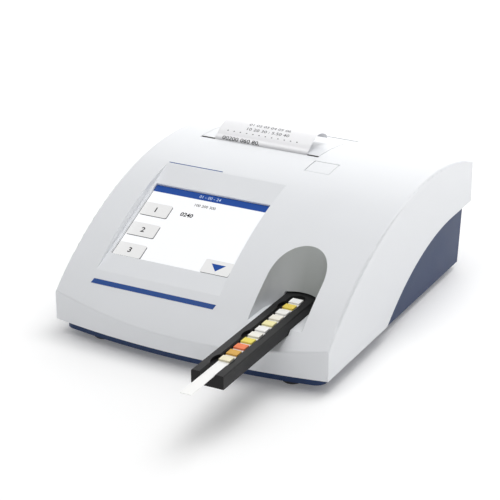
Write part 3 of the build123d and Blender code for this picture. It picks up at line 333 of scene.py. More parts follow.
@dataclass(frozen=True)
class Machined(Finish):
    """Bare metal with fine scratches along one direction."""

    lay: Lay = Lay.ALONG_X
    roughness: float = 0.32

    def fill(self, shop: Workshop) -> None:
        """Scratches vary both shine and height."""
        scratches = shop.noise(0.25 * MM, 4.0, self.lay.value)
        shop.set(Base_Color=shop.blend(scratches, shaded(self.colour, 0.8), self.colour))
        shop.set(Metallic=1.0, Roughness=self.roughness + 0.2 * (scratches - 0.5))
        shop.bump(scratches, 0.01 * MM)


@dataclass(frozen=True)
class ClearGlass(Finish):
    """Clear cover glass: mostly see-through, with a sharp shine."""

    alpha: float = 0.12

    def fill(self, shop: Workshop) -> None:
        """A faint tint with faint smears in the shine."""
        smears = shop.noise(12 * MM, 3.0)
        shop.set(Base_Color=self.colour, Alpha=self.alpha)
        shop.set(Roughness=0.03 + 0.05 * smears)
        shop.set(IOR=1.5)


@dataclass(frozen=True)
class Lit(Finish):
    """A lit part of the screen, under a smooth film."""

    glow: float = 0.75
    pixel: float = 0.22 * MM

    def fill(self, shop: Workshop) -> None:
        """Even light with the pixel rows only just showing."""
        rows = (shop.place("Y") % self.pixel) / self.pixel
        colour = shop.blend((rows > 0.82) * 0.06, self.colour, shaded(self.colour, 0.6))
        shop.set(Base_Color=shaded(self.colour, 0.3), Emission_Color=colour, Emission_Strength=self.glow)
        shop.set(Roughness=0.18)


@dataclass(frozen=True)
class Ink(Finish):
    """Printed ink or thermal print, slightly uneven."""

    roughness: float = 0.5

    def fill(self, shop: Workshop) -> None:
        """Fine speckle where the print is thin."""
        speckle = shop.noise(0.15 * MM, 2.0)
        shop.set(Base_Color=shop.blend(speckle, shaded(self.colour, 1.25), self.colour))
        shop.set(Roughness=self.roughness)


@dataclass(frozen=True)
class Paper(Finish):
    """Thermal paper: white, slightly shiny, with a fine fibre."""

    def fill(self, shop: Workshop) -> None:
        """Fibres drawn out along the paper's run."""
        fibre = shop.noise(0.4 * MM, 5.0, (1.0, 0.3, 1.0))
        shop.set(Base_Color=shop.blend(fibre, shaded(self.colour, 0.97), self.colour))
        shop.set(Roughness=0.62)
        shop.bump(fibre, 0.006 * MM)


@dataclass(frozen=True)
class PaperEdge(Finish):
    """The end of a wound roll, with its turns showing as rings."""

    centre_y: float = 0.0
    centre_z: float = 0.0
    turn: float = 0.35 * MM

    def fill(self, shop: Workshop) -> None:
        """Rings by distance from the roll's axis."""
        across = shop.place("Y") - self.centre_y
        up = shop.place("Z") - self.centre_z
        radius = (across * across + up * up) ** 0.5
        ring = (radius % self.turn) / self.turn
        shop.set(Base_Color=shop.blend((ring > 0.75) * 0.25, self.colour, shaded(self.colour, 0.7)))
        shop.set(Roughness=0.7)


@dataclass(frozen=True)
class Board(Finish):
    """Circuit board: solder mask with tracks a shade lighter."""

    track: float = 1.27 * MM

    def fill(self, shop: Workshop) -> None:
        """Tracks on two grids, broken up by noise."""
        along = ((shop.place("X") % self.track) / self.track) > 0.72
        across = ((shop.place("Y") % self.track) / self.track) > 0.72
        area = shop.noise(9 * MM, 1.0) > 0.5
        tracks = area * along + (1 - area) * across
        shop.set(Base_Color=shop.blend(tracks * 0.5, self.colour, shaded(self.colour, 2.2)))
        shop.set(Roughness=0.38)
        shop.bump(tracks, 0.03 * MM)


@dataclass(frozen=True)
class CellJacket(Finish):
    """Plain cell jackets: a dark body with a bright band at one end."""

    middle_y: float = 0.0
    half_length: float = 0.0
    band: float = 14 * MM
    metal: Colour = screen_colour(196, 150, 90)

    def fill(self, shop: Workshop) -> None:
        """Band near the positive ends, in the metal's colour."""
        along = shop.place("Y") - self.middle_y
        end = self.half_length
        in_band = (along > end - self.band) * (along < end)
        shop.set(Base_Color=shop.blend(in_band, self.colour, self.metal))
        shop.set(Metallic=0.6, Roughness=0.3 + 0.1 * shop.noise(2 * MM))


@dataclass(frozen=True)
class PadRow(Finish):
    """Reagent pads: each pad its own colour, with an absorbent surface."""

    first_y: float = 0.0
    pitch: float = 7.44 * MM
    shades: tuple[Colour, ...] = ()
    dotted: int = 1
    dot_colour: Colour = screen_colour(205, 80, 30)
    dot_pitch: float = 1.3 * MM
    dot_share: float = 0.17

    def fill(self, shop: Workshop) -> None:
        """Pick the colour by how many pitches the point lies from the first pad; one pad is dotted."""
        count = len(self.shades)
        step = (self.first_y - shop.place("Y")) / self.pitch + 0.5
        stops = [(index / count, shade) for index, shade in enumerate(self.shades)]
        settings = {"stops": stops, "interpolation": "CONSTANT"}
        picked = shop.node("ShaderNodeValToRGB", settings, {0: step / count}).outputs[0]
        here = (step > self.dotted) * (step < self.dotted + 1)
        cells = {"Vector": shop.place(), "Scale": 1 / self.dot_pitch}
        grains = shop.wire("ShaderNodeTexVoronoi", {}, cells, "Distance")
        coloured = shop.blend(here * (grains < self.dot_share), picked, self.dot_colour)
        weave = shop.noise(0.25 * MM, 3.0)
        shop.set(Base_Color=shop.blend(weave * 0.15, coloured, self.colour))
        shop.set(Roughness=0.9)
        shop.bump(weave, 0.06 * MM)


@dataclass(frozen=True)
class CoverPaint(Moulded):
    """The cover's white plastic, with painted shade greying the inside of the scooped niche."""

    niche_x: float = 0.0
    niche_y: float = 0.0
    niche_low: float = 0.0
    niche_half: float = 15.42 * MM
    niche_mouth: float = -22 * MM
    floor_edge: float = 0.25 * MM
    lean: float = 0.43
    wall_shade: Colour = screen_colour(176, 180, 178)
    fade_z: tuple[float, float] = (32 * MM, 58 * MM)
    fade_x: tuple[float, float] = (33 * MM, 47 * MM)
    fade: float = 0.9

    def fill(self, shop: Workshop) -> None:
        """Painted shade where the point is within the niche's leaning cylinder and above its floor."""
        clouds = shop.noise(30 * MM, 2.0)
        white = shop.blend(clouds, shaded(self.colour, 1 - self.drift), self.colour)
        rise = shop.place("Z") - self.niche_low
        across = shop.place("X") - self.niche_x
        along = shop.place("Y") - self.niche_y - self.lean * rise
        in_round = ((across * across + (along * (along > 0)) ** 2) ** 0.5) < self.niche_half
        wall = in_round * (rise > self.floor_edge) * (along > self.niche_mouth)
        # painted shade: the niche's wall is greyed to stand for the shade inside the recess
        shop.set(Base_Color=shop.blend(wall * self.niche_tone(shop), white, self.wall_shade))
        shop.set(Roughness=self.roughness + 0.1 * (clouds - 0.5), Coat_Weight=self.coat)
        shop.bump(shop.noise(self.grain, 2.0), self.grain_depth)

    def niche_tone(self, shop: Workshop) -> Wire:
        """How strongly painted shade greys the niche's wall: least at its low left, with a little
        unevenness.
        """
        low = shop.fade("Z", self.fade_z, self.fade)
        left = shop.fade("X", self.fade_x, 1.0)
        return 0.92 + 0.08 * shop.noise(8 * MM) - low * left


@dataclass(frozen=True)
class LidPaint(Moulded):
    """The lid's white plastic, with painted shade on its front edge, where the paper slit is dark."""

    edge_y: float = 0.0
    low_z: float = 0.0
    edge_shade: Colour = screen_colour(74, 70, 66)

    def fill(self, shop: Workshop) -> None:
        """Painted shade on the front edge only, plain moulding everywhere else."""
        super().fill(shop)
        # painted shade: the lid's front edge is darkened to stand for the dark of the paper slit
        edge = (shop.place("Y") < self.edge_y) * (shop.place("Z") > self.low_z)
        shop.set(Base_Color=shop.blend(edge, self.colour, self.edge_shade))


@dataclass(frozen=True)
class Backdrop(Finish):
    """White floor of a light tent: away from the object it glows, so that it stays white."""

    near: float = 0.14
    far: float = 0.9
    start: float = 0.16
    reach: float = 0.5

    def fill(self, shop: Workshop) -> None:
        """The glow grows with distance from the middle of the floor."""
        across, along = shop.place("X"), shop.place("Y")
        distance = (across * across + along * along) ** 0.5
        settings = {"interpolation_type": "SMOOTHSTEP"}
        values = {0: distance, 1: self.start, 2: self.start + self.reach, 3: self.near, 4: self.far}
        glow = shop.wire("ShaderNodeMapRange", settings, values)
        shop.set(Base_Color=self.colour, Roughness=0.7)
        shop.set(Emission_Color=(1.0, 1.0, 1.0), Emission_Strength=glow)


# ---- mesh building -----------------------------------------------------------


def piece(name: str, points: Array, faces: Array | list, finish: Finish, body: str,
          record_slot: str, smooth: bool = True) -> bpy.types.Object:
    """Make a mesh object that rides on a body.

    Args:
        name: Name of the piece.
        points: Vertices, an array of (count, 3) in metres.
        faces: Vertex numbers of each face.
        finish: The piece's finish.
        body: The body it moves with.
        record_slot: Not used.
        smooth: Whether its faces are shaded smoothly.

    Returns:
        The new object, at the origin.
    """
    mesh = bpy.data.meshes.new(name)
    mesh.from_pydata([tuple(point) for point in points.reshape(-1, 3)], [], [tuple(face) for face in faces])
    mesh.polygons.foreach_set("use_smooth", np.full(len(mesh.polygons), smooth))
    mesh.materials.append(finish.build())
    mesh.update()
    made = bpy.data.objects.new(name, mesh)
    bpy.context.scene.collection.objects.link(made)
    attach(made, body)
    LOG.info("%s: %d faces on %s", name, len(mesh.polygons), body)
    return made


def grid_faces(rows: int, columns: int, wrap: bool = False) -> Array:
    """Quads over a grid of points.

    Args:
        rows: Number of rows of points.
        columns: Number of points in a row.
        wrap: Whether the last column joins the first.

    Returns:
        Array of (count, 4) vertex numbers, anticlockwise seen from above.
    """
    row = np.arange(rows - 1)[:, None]
    column = np.arange(columns if wrap else columns - 1)[None, :]
    after = (column + 1) % columns
    corners = (row * columns + column, row * columns + after,
               (row + 1) * columns + after, (row + 1) * columns + column)
    shape = (rows - 1, column.size)
    return np.stack([np.broadcast_to(corner, shape) for corner in corners], -1).reshape(-1, 4)


def patch(u_range: tuple[float, float], v_range: tuple[float, float], lift: float, place: Place,
          shape: tuple[int, int] = (2, 2), lean: float = 0.0) -> tuple[Array, Array]:
    """A rectangle on a surface: u and v run evenly between their ends, u shifts by lean with v.

    Args:
        u_range: Ends along the first direction.
        v_range: Ends along the second direction.
        lift: Height over the surface.
        place: Maps u, v and height to points in space.
        shape: Number of points along v and u.
        lean: Shift in u from the first row to the last.

    Returns:
        Points and faces.
    """
    v, u = np.meshgrid(np.linspace(*v_range, shape[0]), np.linspace(*u_range, shape[1]), indexing="ij")
    u = u + lean * np.linspace(0, 1, shape[0])[:, None]
    return place(u, v, np.full_like(u, lift)), grid_faces(*shape)


def rounded_rim(width: float, height: float, radius: float, steps: int = 6) -> Array:
    """Rim of a rounded rectangle about the origin: four quarter circles, anticlockwise.

    Args:
        width: Full width.
        height: Full height.
        radius: Corner radius.
        steps: Points on each corner.

    Returns:
        Array of (4 * steps, 2).
    """
    turn = np.linspace(0, pi / 2, steps)[None, :] + np.arange(4)[:, None] * pi / 2
    side = np.array([[1, 1], [-1, 1], [-1, -1], [1, -1]])
    centre = side * np.array([width / 2 - radius, height / 2 - radius])
    return (centre[:, None, :] + radius * np.stack([np.cos(turn), np.sin(turn)], -1)).reshape(-1, 2)


def plate(rim: Array, centre: tuple[float, float], insets: Sequence[float], lifts: Sequence[float],
          place: Place) -> tuple[Array, list]:
    """A low plate: the rim is drawn in ring by ring at given heights, then capped.

    Args:
        rim: Outline about its own centre, (count, 2).
        centre: Where the plate's centre lies.
        insets: How far each ring is drawn in from the rim.
        lifts: Height of each ring.
        place: Maps u, v and height to points in space.

    Returns:
        Points and faces.
    """
    reach = np.abs(rim).max(0)
    rings = np.stack([rim * (1 - inset / reach) for inset in insets]) + np.array(centre)
    height = np.broadcast_to(np.array(lifts)[:, None], rings.shape[:2])
    points = place(rings[..., 0], rings[..., 1], height).reshape(-1, 3)
    count = len(rim)
    cap = tuple(range(count * (len(insets) - 1), count * len(insets)))
    return points, [*grid_faces(len(insets), count, wrap=True), cap]


def letter_shapes(text: str, height: float, width: float = 0.0, weight: float = 0.0) -> tuple[Array, list]:
    """Digits and marks as flat faces, centred on the origin.

    Args:
        text: Plain digits or marks.
        height: Height of a digit.
        width: Full width of the row; nought keeps the font's own.
        weight: How far the strokes are thickened, in parts of the font's size.

    Returns:
        Points (count, 2) and faces.
    """
    curve = bpy.data.curves.new("digits", "FONT")
    curve.body = text
    curve.offset = weight
    curve.resolution_u = 3
    holder = bpy.data.objects.new("digits", curve)
    bpy.context.scene.collection.objects.link(holder)
    bpy.context.view_layer.update()
    mesh = bpy.data.meshes.new_from_object(holder)
    flat = np.array([vertex.co[:2] for vertex in mesh.vertices])
    faces = [tuple(polygon.vertices) for polygon in mesh.polygons]
    bpy.data.objects.remove(holder)
    bpy.data.curves.remove(curve)
    bpy.data.meshes.remove(mesh)
    low, high = flat.min(0), flat.max(0)
    scale = height / (high[1] - low[1])
    across = width / (high[0] - low[0]) if width else scale
    return (flat - (low + high) / 2) * np.array([across, scale]), faces


def smooth_run(knots: Array, count: int) -> Array:
    """A smooth curve through points, at even steps of length.

    Each stretch is a cubic whose slope at either end is half the chord between
    the points before and after that end; the result is resampled by length.

    Args:
        knots: Points to pass through, (count, 2).
        count: Number of points wanted.

    Returns:
        Array of (count, 2).
    """
    padded = np.vstack([2 * knots[0] - knots[1], knots, 2 * knots[-1] - knots[-2]])
    share = np.linspace(0, 1, 24, endpoint=False)[None, :, None]
    before, start, end, after = (padded[index:len(padded) - 3 + index, None] for index in range(4))
    fine = 0.5 * (2 * start + (end - before) * share
                  + (2 * before - 5 * start + 4 * end - after) * share ** 2
                  + (3 * start - before - 3 * end + after) * share ** 3)
    fine = np.vstack([fine.reshape(-1, 2), knots[-1]])
    length = np.concatenate([[0], np.cumsum(np.linalg.norm(np.diff(fine, axis=0), axis=1))])
    wanted = np.linspace(0, length[-1], count)
    return np.stack([np.interp(wanted, length, fine[:, axis]) for axis in range(2)], -1)


def finish_nodes(frame: dict, finish: Finish, *names: str) -> None:
    """Give carried-over solids a finish.

    Args:
        finish: The finish.
        names: The solids' names.
    """
    for name in names:
        mesh = frame["nodes"][name].data
        mesh.materials.clear()
        mesh.materials.append(finish.build())
        LOG.info("%s: %s", name, finish.name)


# ---- the casing's form -----------------------------------------------------------


@dataclass
class CasingForm:
    """Surfaces of the casing that thin pieces lie on, measured from the solids."""

    arch_radius: float = 185 * MM
    peak_run: float = 126 * MM
    nose_bow: float = 8 * MM
    facet_low_run: float = 12.5 * MM
    facet_top_run: float = 88 * MM
    window_drop: float = 43.25 * MM
    glass_below_facet: float = 1.6 * MM

    def __post_init__(self) -> None:
        """Read the cover's box and work out the display's plane."""
        low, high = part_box("top_cover")
        glass_low, glass_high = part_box("display_glass")
        self.front = low.y + self.nose_bow
        self.peak_y = self.front + self.peak_run
        self.axis_z = high.z - self.arch_radius
        self.display_x = (glass_low.x + glass_high.x) / 2
        top_y = self.front + self.facet_top_run
        low_y = self.front + self.facet_low_run
        rise = self.height(top_y) - self.height(low_y)
        self.tilt = atan2(rise, top_y - low_y)
        self.window_y = top_y - self.window_drop * cos(self.tilt)
        self.window_z = self.height(top_y) - self.window_drop * sin(self.tilt)

    def height(self, y: Array | float) -> Array | float:
        """Height of the arch: a circle of arch_radius about its axis."""
        return self.axis_z + np.sqrt(self.arch_radius ** 2 - (y - self.peak_y) ** 2)

    def on_arch(self, u: Array, v: Array, lift: Array) -> Array:
        """Points on the arch: u is x, v the run behind the front corners, lift is along the radius."""
        y = self.front + v
        z = self.height(y)
        scale = (self.arch_radius + lift) / self.arch_radius
        lifted_y = self.peak_y + (y - self.peak_y) * scale
        lifted_z = self.axis_z + (z - self.axis_z) * scale
        return np.stack([u, lifted_y, lifted_z], -1)

    def on_screen(self, u: Array, v: Array, lift: Array) -> Array:
        """Points on the display's glass: u across, v up the slope, lift off the glass."""
        rise = lift - self.glass_below_facet
        y = self.window_y + v * cos(self.tilt) - rise * sin(self.tilt)
        z = self.window_z + v * sin(self.tilt) + rise * cos(self.tilt)
        return np.stack([self.display_x + u, y, z], -1)


# ---- sub-assemblies ------------------------------------------------------------------


@dataclass
class Casing:
    """Cover, base, feet, screws and the painted bars."""

    frame: dict
    form: CasingForm
    white: Colour = screen_colour(232, 234, 237)
    navy: Colour = screen_colour(24, 50, 92)
    print_blue: Colour = screen_colour(22, 68, 138)
    bar_runs: tuple[float, float] = (6.2 * MM, 8.4 * MM)
    bar_ends: tuple[float, float] = (-61.7 * MM, 11.5 * MM)
    line_runs: tuple[float, float] = (88.9 * MM, 89.6 * MM)
    line_ends: tuple[float, float] = (-61.2 * MM, -27.6 * MM)
    slant: float = 0.9 * MM
    paint: float = 0.05 * MM
    niche_run: float = 20.25 * MM
    niche_floor: float = 29.7 * MM
    lid_edge: float = 0.25 * MM
    lid_depth: float = 4 * MM

    def dress(self) -> None:
        """Finish the solids."""
        tray_low, tray_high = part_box("strip_tray")
        cover = CoverPaint(
            "cover white", self.white, roughness=0.36, coat=0.12, niche_x=(tray_low.x + tray_high.x) / 2,
            niche_y=self.form.front + self.niche_run, niche_low=self.niche_floor)
        finish_nodes(self.frame, cover, "top_cover")
        lid_low, lid_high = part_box("printer_lid")
        lid = LidPaint("lid white", self.white, roughness=0.36, coat=0.12,
                       edge_y=lid_low.y + self.lid_edge, low_z=lid_high.z - self.lid_depth)
        finish_nodes(self.frame, lid, "printer_lid")
        blue = Moulded("base blue", self.navy, roughness=0.42, shine=0.3)
        finish_nodes(self.frame, blue, "base_shell", "battery_door")
        feet = [name for name in self.frame["nodes"] if name.startswith("foot_")]
        finish_nodes(self.frame, Rubber("foot rubber", screen_colour(60, 60, 62)), *feet)
        finish_nodes(self.frame, Machined("zinc", screen_colour(190, 190, 192), Lay.ALONG_X),
                     "case_screws", "display_screws", "board_screws")

    def paint_bars(self) -> None:
        """Bars on the arch, each a thin patch that follows its curve."""
        ink = Ink("casing blue", self.print_blue)
        place = self.form.on_arch
        points, faces = patch(self.bar_ends, self.bar_runs, self.paint, place, (5, 12), self.slant)
        piece("painted_bar", points, faces, ink, "casing", "base_blue")
        points, faces = patch(self.line_ends, self.line_runs, self.paint, place, (3, 8))
        piece("painted_line", points, faces, ink, "casing", "base_blue")


@dataclass
class Screen:
    """The lit display: film, header, keys, numbers."""

    frame: dict
    form: CasingForm
    width: float = 70.8 * MM
    height: float = 54.5 * MM
    header_low: float = 22.6 * MM
    key_size: tuple[float, float] = (16.8 * MM, 9.4 * MM)
    key_x: float = -26.9 * MM
    key_rows: tuple[float, ...] = (9.5 * MM, -5.9 * MM, -21.3 * MM)
    arrow_key: tuple[float, float] = (25.9 * MM, -21.0 * MM)
    key_drop: float = 0.45 * MM
    film: float = 0.06 * MM
    white: Colour = screen_colour(252, 253, 255)
    blue: Colour = screen_colour(26, 72, 152)
    key_face: Colour = screen_colour(232, 232, 232)
    key_shade: Colour = screen_colour(84, 86, 90)
    black: Colour = screen_colour(25, 25, 30)

    def dress(self) -> None:
        """Finish the display's solids."""
        finish_nodes(self.frame, ClearGlass("cover glass", (0.9, 0.95, 1.0)), "display_glass")
        panel = Moulded("panel black", screen_colour(20, 22, 26), roughness=0.2)
        finish_nodes(self.frame, panel, "lcd_module")
        finish_nodes(self.frame, Rubber("gasket foam", screen_colour(46, 46, 48)), "display_gasket")

    def show(self, name: str, mesh: tuple[Array, list], colour: Colour, tone: str) -> None:
        """Add one lit piece of the picture.

        Args:
            name: Name of the piece.
            mesh: Points and faces.
            colour: Its colour.
            tone: Name of the finish.
        """
        piece(name, *mesh, Lit(tone, colour), "casing", "lcd_black", smooth=False)

    def write(self, name: str, text: str, centre: tuple[float, float], height: float, level: float,
              colour: Colour, tone: str, weight: float = 0.01) -> None:
        """Add a row of digits to the picture.

        Args:
            name: Name of the piece.
            text: The digits.
            centre: Middle of the row on the screen.
            height: Height of a digit.
            level: Height over the glass.
            colour: The digits' colour.
            tone: Name of the finish.
            weight: How far the strokes are thickened.
        """
        flat, faces = letter_shapes(text, height, 0.0, weight)
        flat = flat + np.array(centre)
        points = self.form.on_screen(flat[:, 0], flat[:, 1], np.full(len(flat), level))
        self.show(name, (points, faces), colour, tone)

    def draw(self) -> None:
        """Make the whole picture, from the page up."""
        half, tall = self.width / 2, self.height / 2
        place = self.form.on_screen
        page = patch((-half, half), (-tall, tall), self.film, place)
        self.show("screen_page", page, self.white, "page light")
        header = patch((-half, half), (self.header_low, tall), 2 * self.film, place)
        self.show("screen_header", header, self.blue, "header light")
        self.write("header_digits", "01 - 00 - 24", (-1 * MM, (self.header_low + tall) / 2), 2.0 * MM,
                   3 * self.film, screen_colour(190, 205, 235), "header digit light")
        self.write("row_digits", "100 200 300", (-0.9 * MM, 18.4 * MM), 1.9 * MM, 2 * self.film,
                   self.black, "digit light")
        self.write("count_digits", "0240", (-8.2 * MM, 10.2 * MM), 2.9 * MM, 2 * self.film,
                   self.black, "digit light", 0.03)
        for number, v in enumerate(self.key_rows, start=1):
            self.key(f"key_{number}", (self.key_x, v))
            self.write(f"key_{number}_digit", str(number), (self.key_x, v), 3.6 * MM, 4 * self.film,
                       self.black, "digit light", 0.02)
        self.key("arrow_key", self.arrow_key)
        self.arrow()

    def key(self, name: str, centre: tuple[float, float]) -> None:
        """A key: a dark plate shifted down and right, and a pale plate over it."""
        rim = rounded_rim(*self.key_size, 0.9 * MM)
        under = (centre[0] + self.key_drop, centre[1] - self.key_drop)
        place = self.form.on_screen
        self.show(f"{name}_shade", plate(rim, under, (0, 0), (self.film, 2 * self.film), place),
                  self.key_shade, "key shade light")
        self.show(name, plate(rim, centre, (0, 0), (2 * self.film, 3 * self.film), place),
                  self.key_face, "key light")

    def arrow(self) -> None:
        """A triangle that points down the slope."""
        rim = np.array([[-4.2, 2.1], [0, -2.7], [4.2, 2.1]]) * MM
        mesh = plate(rim, self.arrow_key, (0, 0), (3 * self.film, 4 * self.film), self.form.on_screen)
        self.show("key_arrow", mesh, self.blue, "arrow light")


@dataclass
class TrayUnit:
    """Tray, strip and reagent pads, with the drive under them."""

    frame: dict
    tray_black: Colour = screen_colour(17, 17, 18)
    pad_pitch: float = 7.44 * MM
    pad_length: float = 5.0 * MM
    pad_shades: tuple[Colour, ...] = (
        screen_colour(245, 245, 243), screen_colour(238, 212, 70), screen_colour(244, 243, 238),
        screen_colour(240, 236, 222), screen_colour(240, 232, 170), screen_colour(243, 243, 240),
        screen_colour(238, 236, 226), screen_colour(235, 218, 80), screen_colour(238, 118, 58),
        screen_colour(214, 160, 42), screen_colour(240, 232, 200))

    def dress(self) -> None:
        """Finish the tray's solids and its drive."""
        low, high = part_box("reagent_pads")
        first = high.y - self.pad_length / 2
        pads = PadRow("reagent pads", screen_colour(250, 248, 240), first, self.pad_pitch, self.pad_shades)
        finish_nodes(self.frame, pads, "reagent_pads")
        black = Moulded("tray black", self.tray_black, roughness=0.46, drift=0.1, shine=0.25)
        finish_nodes(self.frame, black, "strip_tray")
        film = Moulded("strip film", screen_colour(246, 246, 244), roughness=0.35)
        finish_nodes(self.frame, film, "test_strip")
        grey = Moulded("guide grey", screen_colour(104, 107, 112), roughness=0.5)
        finish_nodes(self.frame, grey, "tray_guide")
        acetal = Moulded("acetal", screen_colour(232, 228, 216), roughness=0.35)
        finish_nodes(self.frame, acetal, "tray_pinion")
        finish_nodes(self.frame, Machined("motor can", screen_colour(170, 171, 174), Lay.ALONG_X),
                     "tray_motor", "feed_motor")
        finish_nodes(self.frame, Machined("turned brass", screen_colour(205, 170, 100), Lay.ALONG_X, 0.25),
                     "motor_gear", "feed_gear")
        finish_nodes(self.frame, Moulded("optics black", screen_colour(32, 32, 34), roughness=0.6),
                     "optics_housing")
        finish_nodes(self.frame, ClearGlass("lens glass", (0.92, 0.95, 1.0), alpha=0.3), "optics_lens")


@dataclass
class Printer:
    """Lid, paper path and the printed slip."""

    frame: dict
    form: CasingForm
    paper_white: Colour = screen_colour(250, 250, 252)
    print_black: Colour = screen_colour(40, 42, 48)
    sheet: float = 0.22 * MM
    rise_run: float = 126.575 * MM
    slit_low: float = 68.2 * MM
    button_travel: float = 2.0 * MM
    curl: tuple[tuple[float, float], ...] = (
        (126.9, 0.4), (129.2, 2.1), (131.8, 4.2), (138.0, 7.2),
        (142.5, 7.9), (146.4, 7.5), (150.8, 5.9), (152.2, 3.6))
    rows: tuple[tuple[str, float, float, float, float, float], ...] = (
        ("01 02 03 04 05 06", 0.0, 20.7, 2.1, 26.1, 0.0),
        ("10 20 30 : 5.50 40", 0.5, 16.7, 2.1, 26.5, 0.0),
        (". . . . . . . . . . . .", -1.6, 13.1, 0.6, 44.6, 0.0),
        ("00200 060 80.", -12.9, 7.9, 2.4, 23.5, 0.012))

    def __post_init__(self) -> None:
        """Place the slip's side edges and its profile."""
        low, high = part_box("paper_roll")
        self.left, self.right = low.x, high.x
        knots = [(self.form.front + self.rise_run, self.slit_low)]
        for run, over in self.curl:
            y = self.form.front + run * MM
            knots.append((y, self.form.height(y) + over * MM))
        self.profile = smooth_run(np.array(knots), 64)

    def dress(self) -> None:
        """Finish the printer's solids."""
        low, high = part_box("paper_roll")
        paper = Paper("thermal paper", self.paper_white)
        roll = PaperEdge("roll of paper", self.paper_white, (low.y + high.y) / 2, (low.z + high.z) / 2)
        finish_nodes(self.frame, roll, "paper_roll")
        finish_nodes(self.frame, paper, "paper_web")
        finish_nodes(self.frame, Moulded("core black", screen_colour(40, 40, 42)), "roll_core")
        dark = Moulded("frame black", screen_colour(30, 29, 28), roughness=0.6)
        finish_nodes(self.frame, dark, "printer_frame")
        head = Machined("head plate", screen_colour(186, 188, 192), Lay.ALONG_X)
        finish_nodes(self.frame, head, "thermal_head")
        finish_nodes(self.frame, Machined("ground steel", screen_colour(200, 200, 202), Lay.ALONG_X, 0.22),
                     "lid_hinge_pin", "platen_shaft", "latch_pin", "button_spring")
        low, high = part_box("button_spring")
        spring = self.frame["nodes"]["button_spring"]
        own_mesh(spring)
        finish_nodes(self.frame, Rubber("platen rubber", screen_colour(48, 48, 50), 0.7), "platen_roller")
        acetal = Moulded("gear acetal", screen_colour(228, 224, 212))
        finish_nodes(self.frame, acetal, "platen_gear", "latch_lever")
        finish_nodes(self.frame, Moulded("button white", screen_colour(233, 235, 238), roughness=0.4),
                     "release_button")

    def on_slip(self, u: Array, v: Array, lift: Array) -> Array:
        """Points on the slip: u is x, v the length from the slit, lift off the front face."""
        steps = np.linalg.norm(np.diff(self.profile, axis=0), axis=1)
        length = np.concatenate([[0], np.cumsum(steps)])
        y = np.interp(v, length, self.profile[:, 0])
        z = np.interp(v, length, self.profile[:, 1])
        slope = np.gradient(self.profile, axis=0)
        slope /= np.linalg.norm(slope, axis=1)[:, None]
        out_y = -np.interp(v, length, slope[:, 1])
        out_z = np.interp(v, length, slope[:, 0])
        return np.stack([u, y + lift * out_y, z + lift * out_z], -1)

    def slip(self) -> None:
        """The printed slip: one curled sheet with both faces and its edges."""
        steps = np.linalg.norm(np.diff(self.profile, axis=0), axis=1).sum()
        rows, columns = 64, 9
        along, across = np.linspace(0, steps, rows), np.linspace(self.left, self.right, columns)
        v, u = np.meshgrid(along, across, indexing="ij")
        outer = self.on_slip(u, v, np.full_like(u, self.sheet / 2))
        inner = self.on_slip(u, v, np.full_like(u, -self.sheet / 2))
        rounds = np.concatenate([outer, inner[:, ::-1]], axis=1)
        faces = [*grid_faces(rows, 2 * columns, wrap=True)]
        first = tuple(range(2 * columns))[::-1]
        last = tuple(range((rows - 1) * 2 * columns, rows * 2 * columns))
        made = piece("receipt", rounds.reshape(-1, 3), [*faces, first, last],
                     Paper("thermal paper", self.paper_white), "lid", "paper")
        made.data.set_sharp_from_angle(angle=radians(40))
        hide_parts("printed_slip")

    def print_rows(self) -> None:
        """Rows of plain digits on the slip; each lies just over the curled face."""
        middle = (self.left + self.right) / 2
        ink = Ink("thermal print", self.print_black)
        for number, (text, shift, length, height, width, weight) in enumerate(self.rows, start=1):
            flat, faces = letter_shapes(text, height * MM, width * MM, weight)
            points = self.on_slip(middle + shift * MM + flat[:, 0], length * MM + flat[:, 1],
                                  np.full(len(flat), self.sheet / 2 + 0.05 * MM))
            piece(f"print_row_{number}", points, faces, ink, "lid", "paper", smooth=False)


@dataclass
class Electronics:
    """Boards, cells, connectors and the ribbon."""

    frame: dict

    def dress(self) -> None:
        """Finish every electrical solid."""
        low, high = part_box("battery_cells")
        green = Board("solder mask", screen_colour(24, 92, 56))
        finish_nodes(self.frame, green, "main_board", "display_board", "sensor_board")
        chip = Moulded("chip black", screen_colour(34, 34, 36), roughness=0.55)
        finish_nodes(self.frame, chip, "board_chips")
        middle_y, half_length = (low.y + high.y) / 2, (high.y - low.y) / 2
        cells = CellJacket("cell jacket", screen_colour(44, 64, 74), middle_y, half_length)
        finish_nodes(self.frame, cells, "battery_cells")
        finish_nodes(self.frame, Machined("nickel", screen_colour(205, 203, 196), Lay.ALONG_Z),
                     "battery_contacts", "serial_port", "usb_port")
        jack = Moulded("jack black", screen_colour(30, 30, 32), roughness=0.5)
        finish_nodes(self.frame, jack, "power_jack")
        ribbon = Moulded("ribbon", screen_colour(222, 224, 228), roughness=0.5)
        finish_nodes(self.frame, ribbon, "display_ribbon")


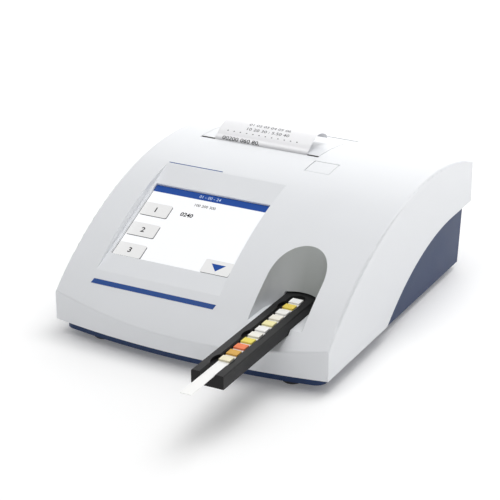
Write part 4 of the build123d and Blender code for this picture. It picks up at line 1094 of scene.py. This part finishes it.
@dataclass
class Studio:
    """White floor and backdrop, soft lights, and the portrait camera."""

    eye: tuple[float, float, float] = (429.09, -795.73, 427.88)
    azimuth: float = 27.8237
    elevation: float = 22.9821
    lens: float = 133.739
    lamps: tuple[tuple[str, tuple[float, float, float], float, float], ...] = field(default=(
        ("key_lamp", (0.28, 0.42, 1.25), 0.8, 7.4), ("top_lamp", (-0.05, -0.38, 1.35), 1.1, 5.9)))
    surround: float = 0.30

    def camera(self) -> None:
        """Aim the camera along the fitted direction."""
        turn, rise = radians(self.azimuth), radians(self.elevation)
        back = Vector((sin(turn) * cos(rise), -cos(turn) * cos(rise), sin(rise)))
        data = bpy.data.cameras.new("portrait")
        data.lens = self.lens
        data.sensor_width = 36
        data.clip_start, data.clip_end = 0.05, 20
        camera = bpy.data.objects.new("portrait", data)
        camera.location = Vector(self.eye) * MM
        camera.rotation_euler = (-back).to_track_quat("-Z", "Y").to_euler()
        bpy.context.scene.collection.objects.link(camera)
        bpy.context.scene.camera = camera

    def light(self) -> None:
        """Area lamps aimed at the object and an even white surround."""
        target = Vector((0, 0, 0.03))
        for name, spot, size, power in self.lamps:
            data = bpy.data.lights.new(name, "AREA")
            data.size = size
            data.energy = power
            lamp = bpy.data.objects.new(name, data)
            lamp.location = spot
            lamp.rotation_euler = (target - Vector(spot)).to_track_quat("-Z", "Y").to_euler()
            bpy.context.scene.collection.objects.link(lamp)
        world = bpy.data.worlds.new("surround")
        world.use_nodes = True
        world.node_tree.nodes["Background"].inputs[0].default_value = (1, 1, 1, 1)
        world.node_tree.nodes["Background"].inputs[1].default_value = self.surround
        bpy.context.scene.world = world
        bpy.context.scene.view_settings.view_transform = "Standard"

    def floor(self) -> None:
        """A wide floor that sweeps up into a wall: height grows as a quarter circle at the back."""
        turn = np.linspace(0, pi / 2, 17)
        radius, back, wide = 1.2, 2.2, 5.0
        y = np.concatenate([[-3.0], back + radius * np.sin(turn), [back + radius]])
        z = np.concatenate([[0.0], radius * (1 - np.cos(turn)), [3.5]])
        grid = np.stack([np.stack([np.full_like(y, x), y, z], -1) for x in (-wide, wide)], 1)
        mesh = bpy.data.meshes.new("floor")
        faces = [tuple(face) for face in grid_faces(len(y), 2)]
        mesh.from_pydata([tuple(point) for point in grid.reshape(-1, 3)], [], faces)
        mesh.polygons.foreach_set("use_smooth", np.ones(len(mesh.polygons), bool))
        mesh.materials.append(Backdrop("floor white", (0.9, 0.9, 0.9)).build())
        floor = bpy.data.objects.new("floor", mesh)
        bpy.context.scene.collection.objects.link(floor)


def main() -> None:
    """Load the frame, dress it, add the thin pieces and set up the portrait."""
    logging.basicConfig(level=logging.INFO, format="%(name)s: %(message)s")
    for old in list(bpy.data.objects):
        bpy.data.objects.remove(old)
    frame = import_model()
    studio = Studio()
    studio.camera()
    studio.light()
    studio.floor()
    form = CasingForm()
    casing = Casing(frame, form)
    casing.dress()
    casing.paint_bars()
    screen = Screen(frame, form)
    screen.dress()
    screen.draw()
    TrayUnit(frame).dress()
    printer = Printer(frame, form)
    printer.dress()
    printer.slip()
    printer.print_rows()
    Electronics(frame).dress()


if __name__ == "__main__":
    main()
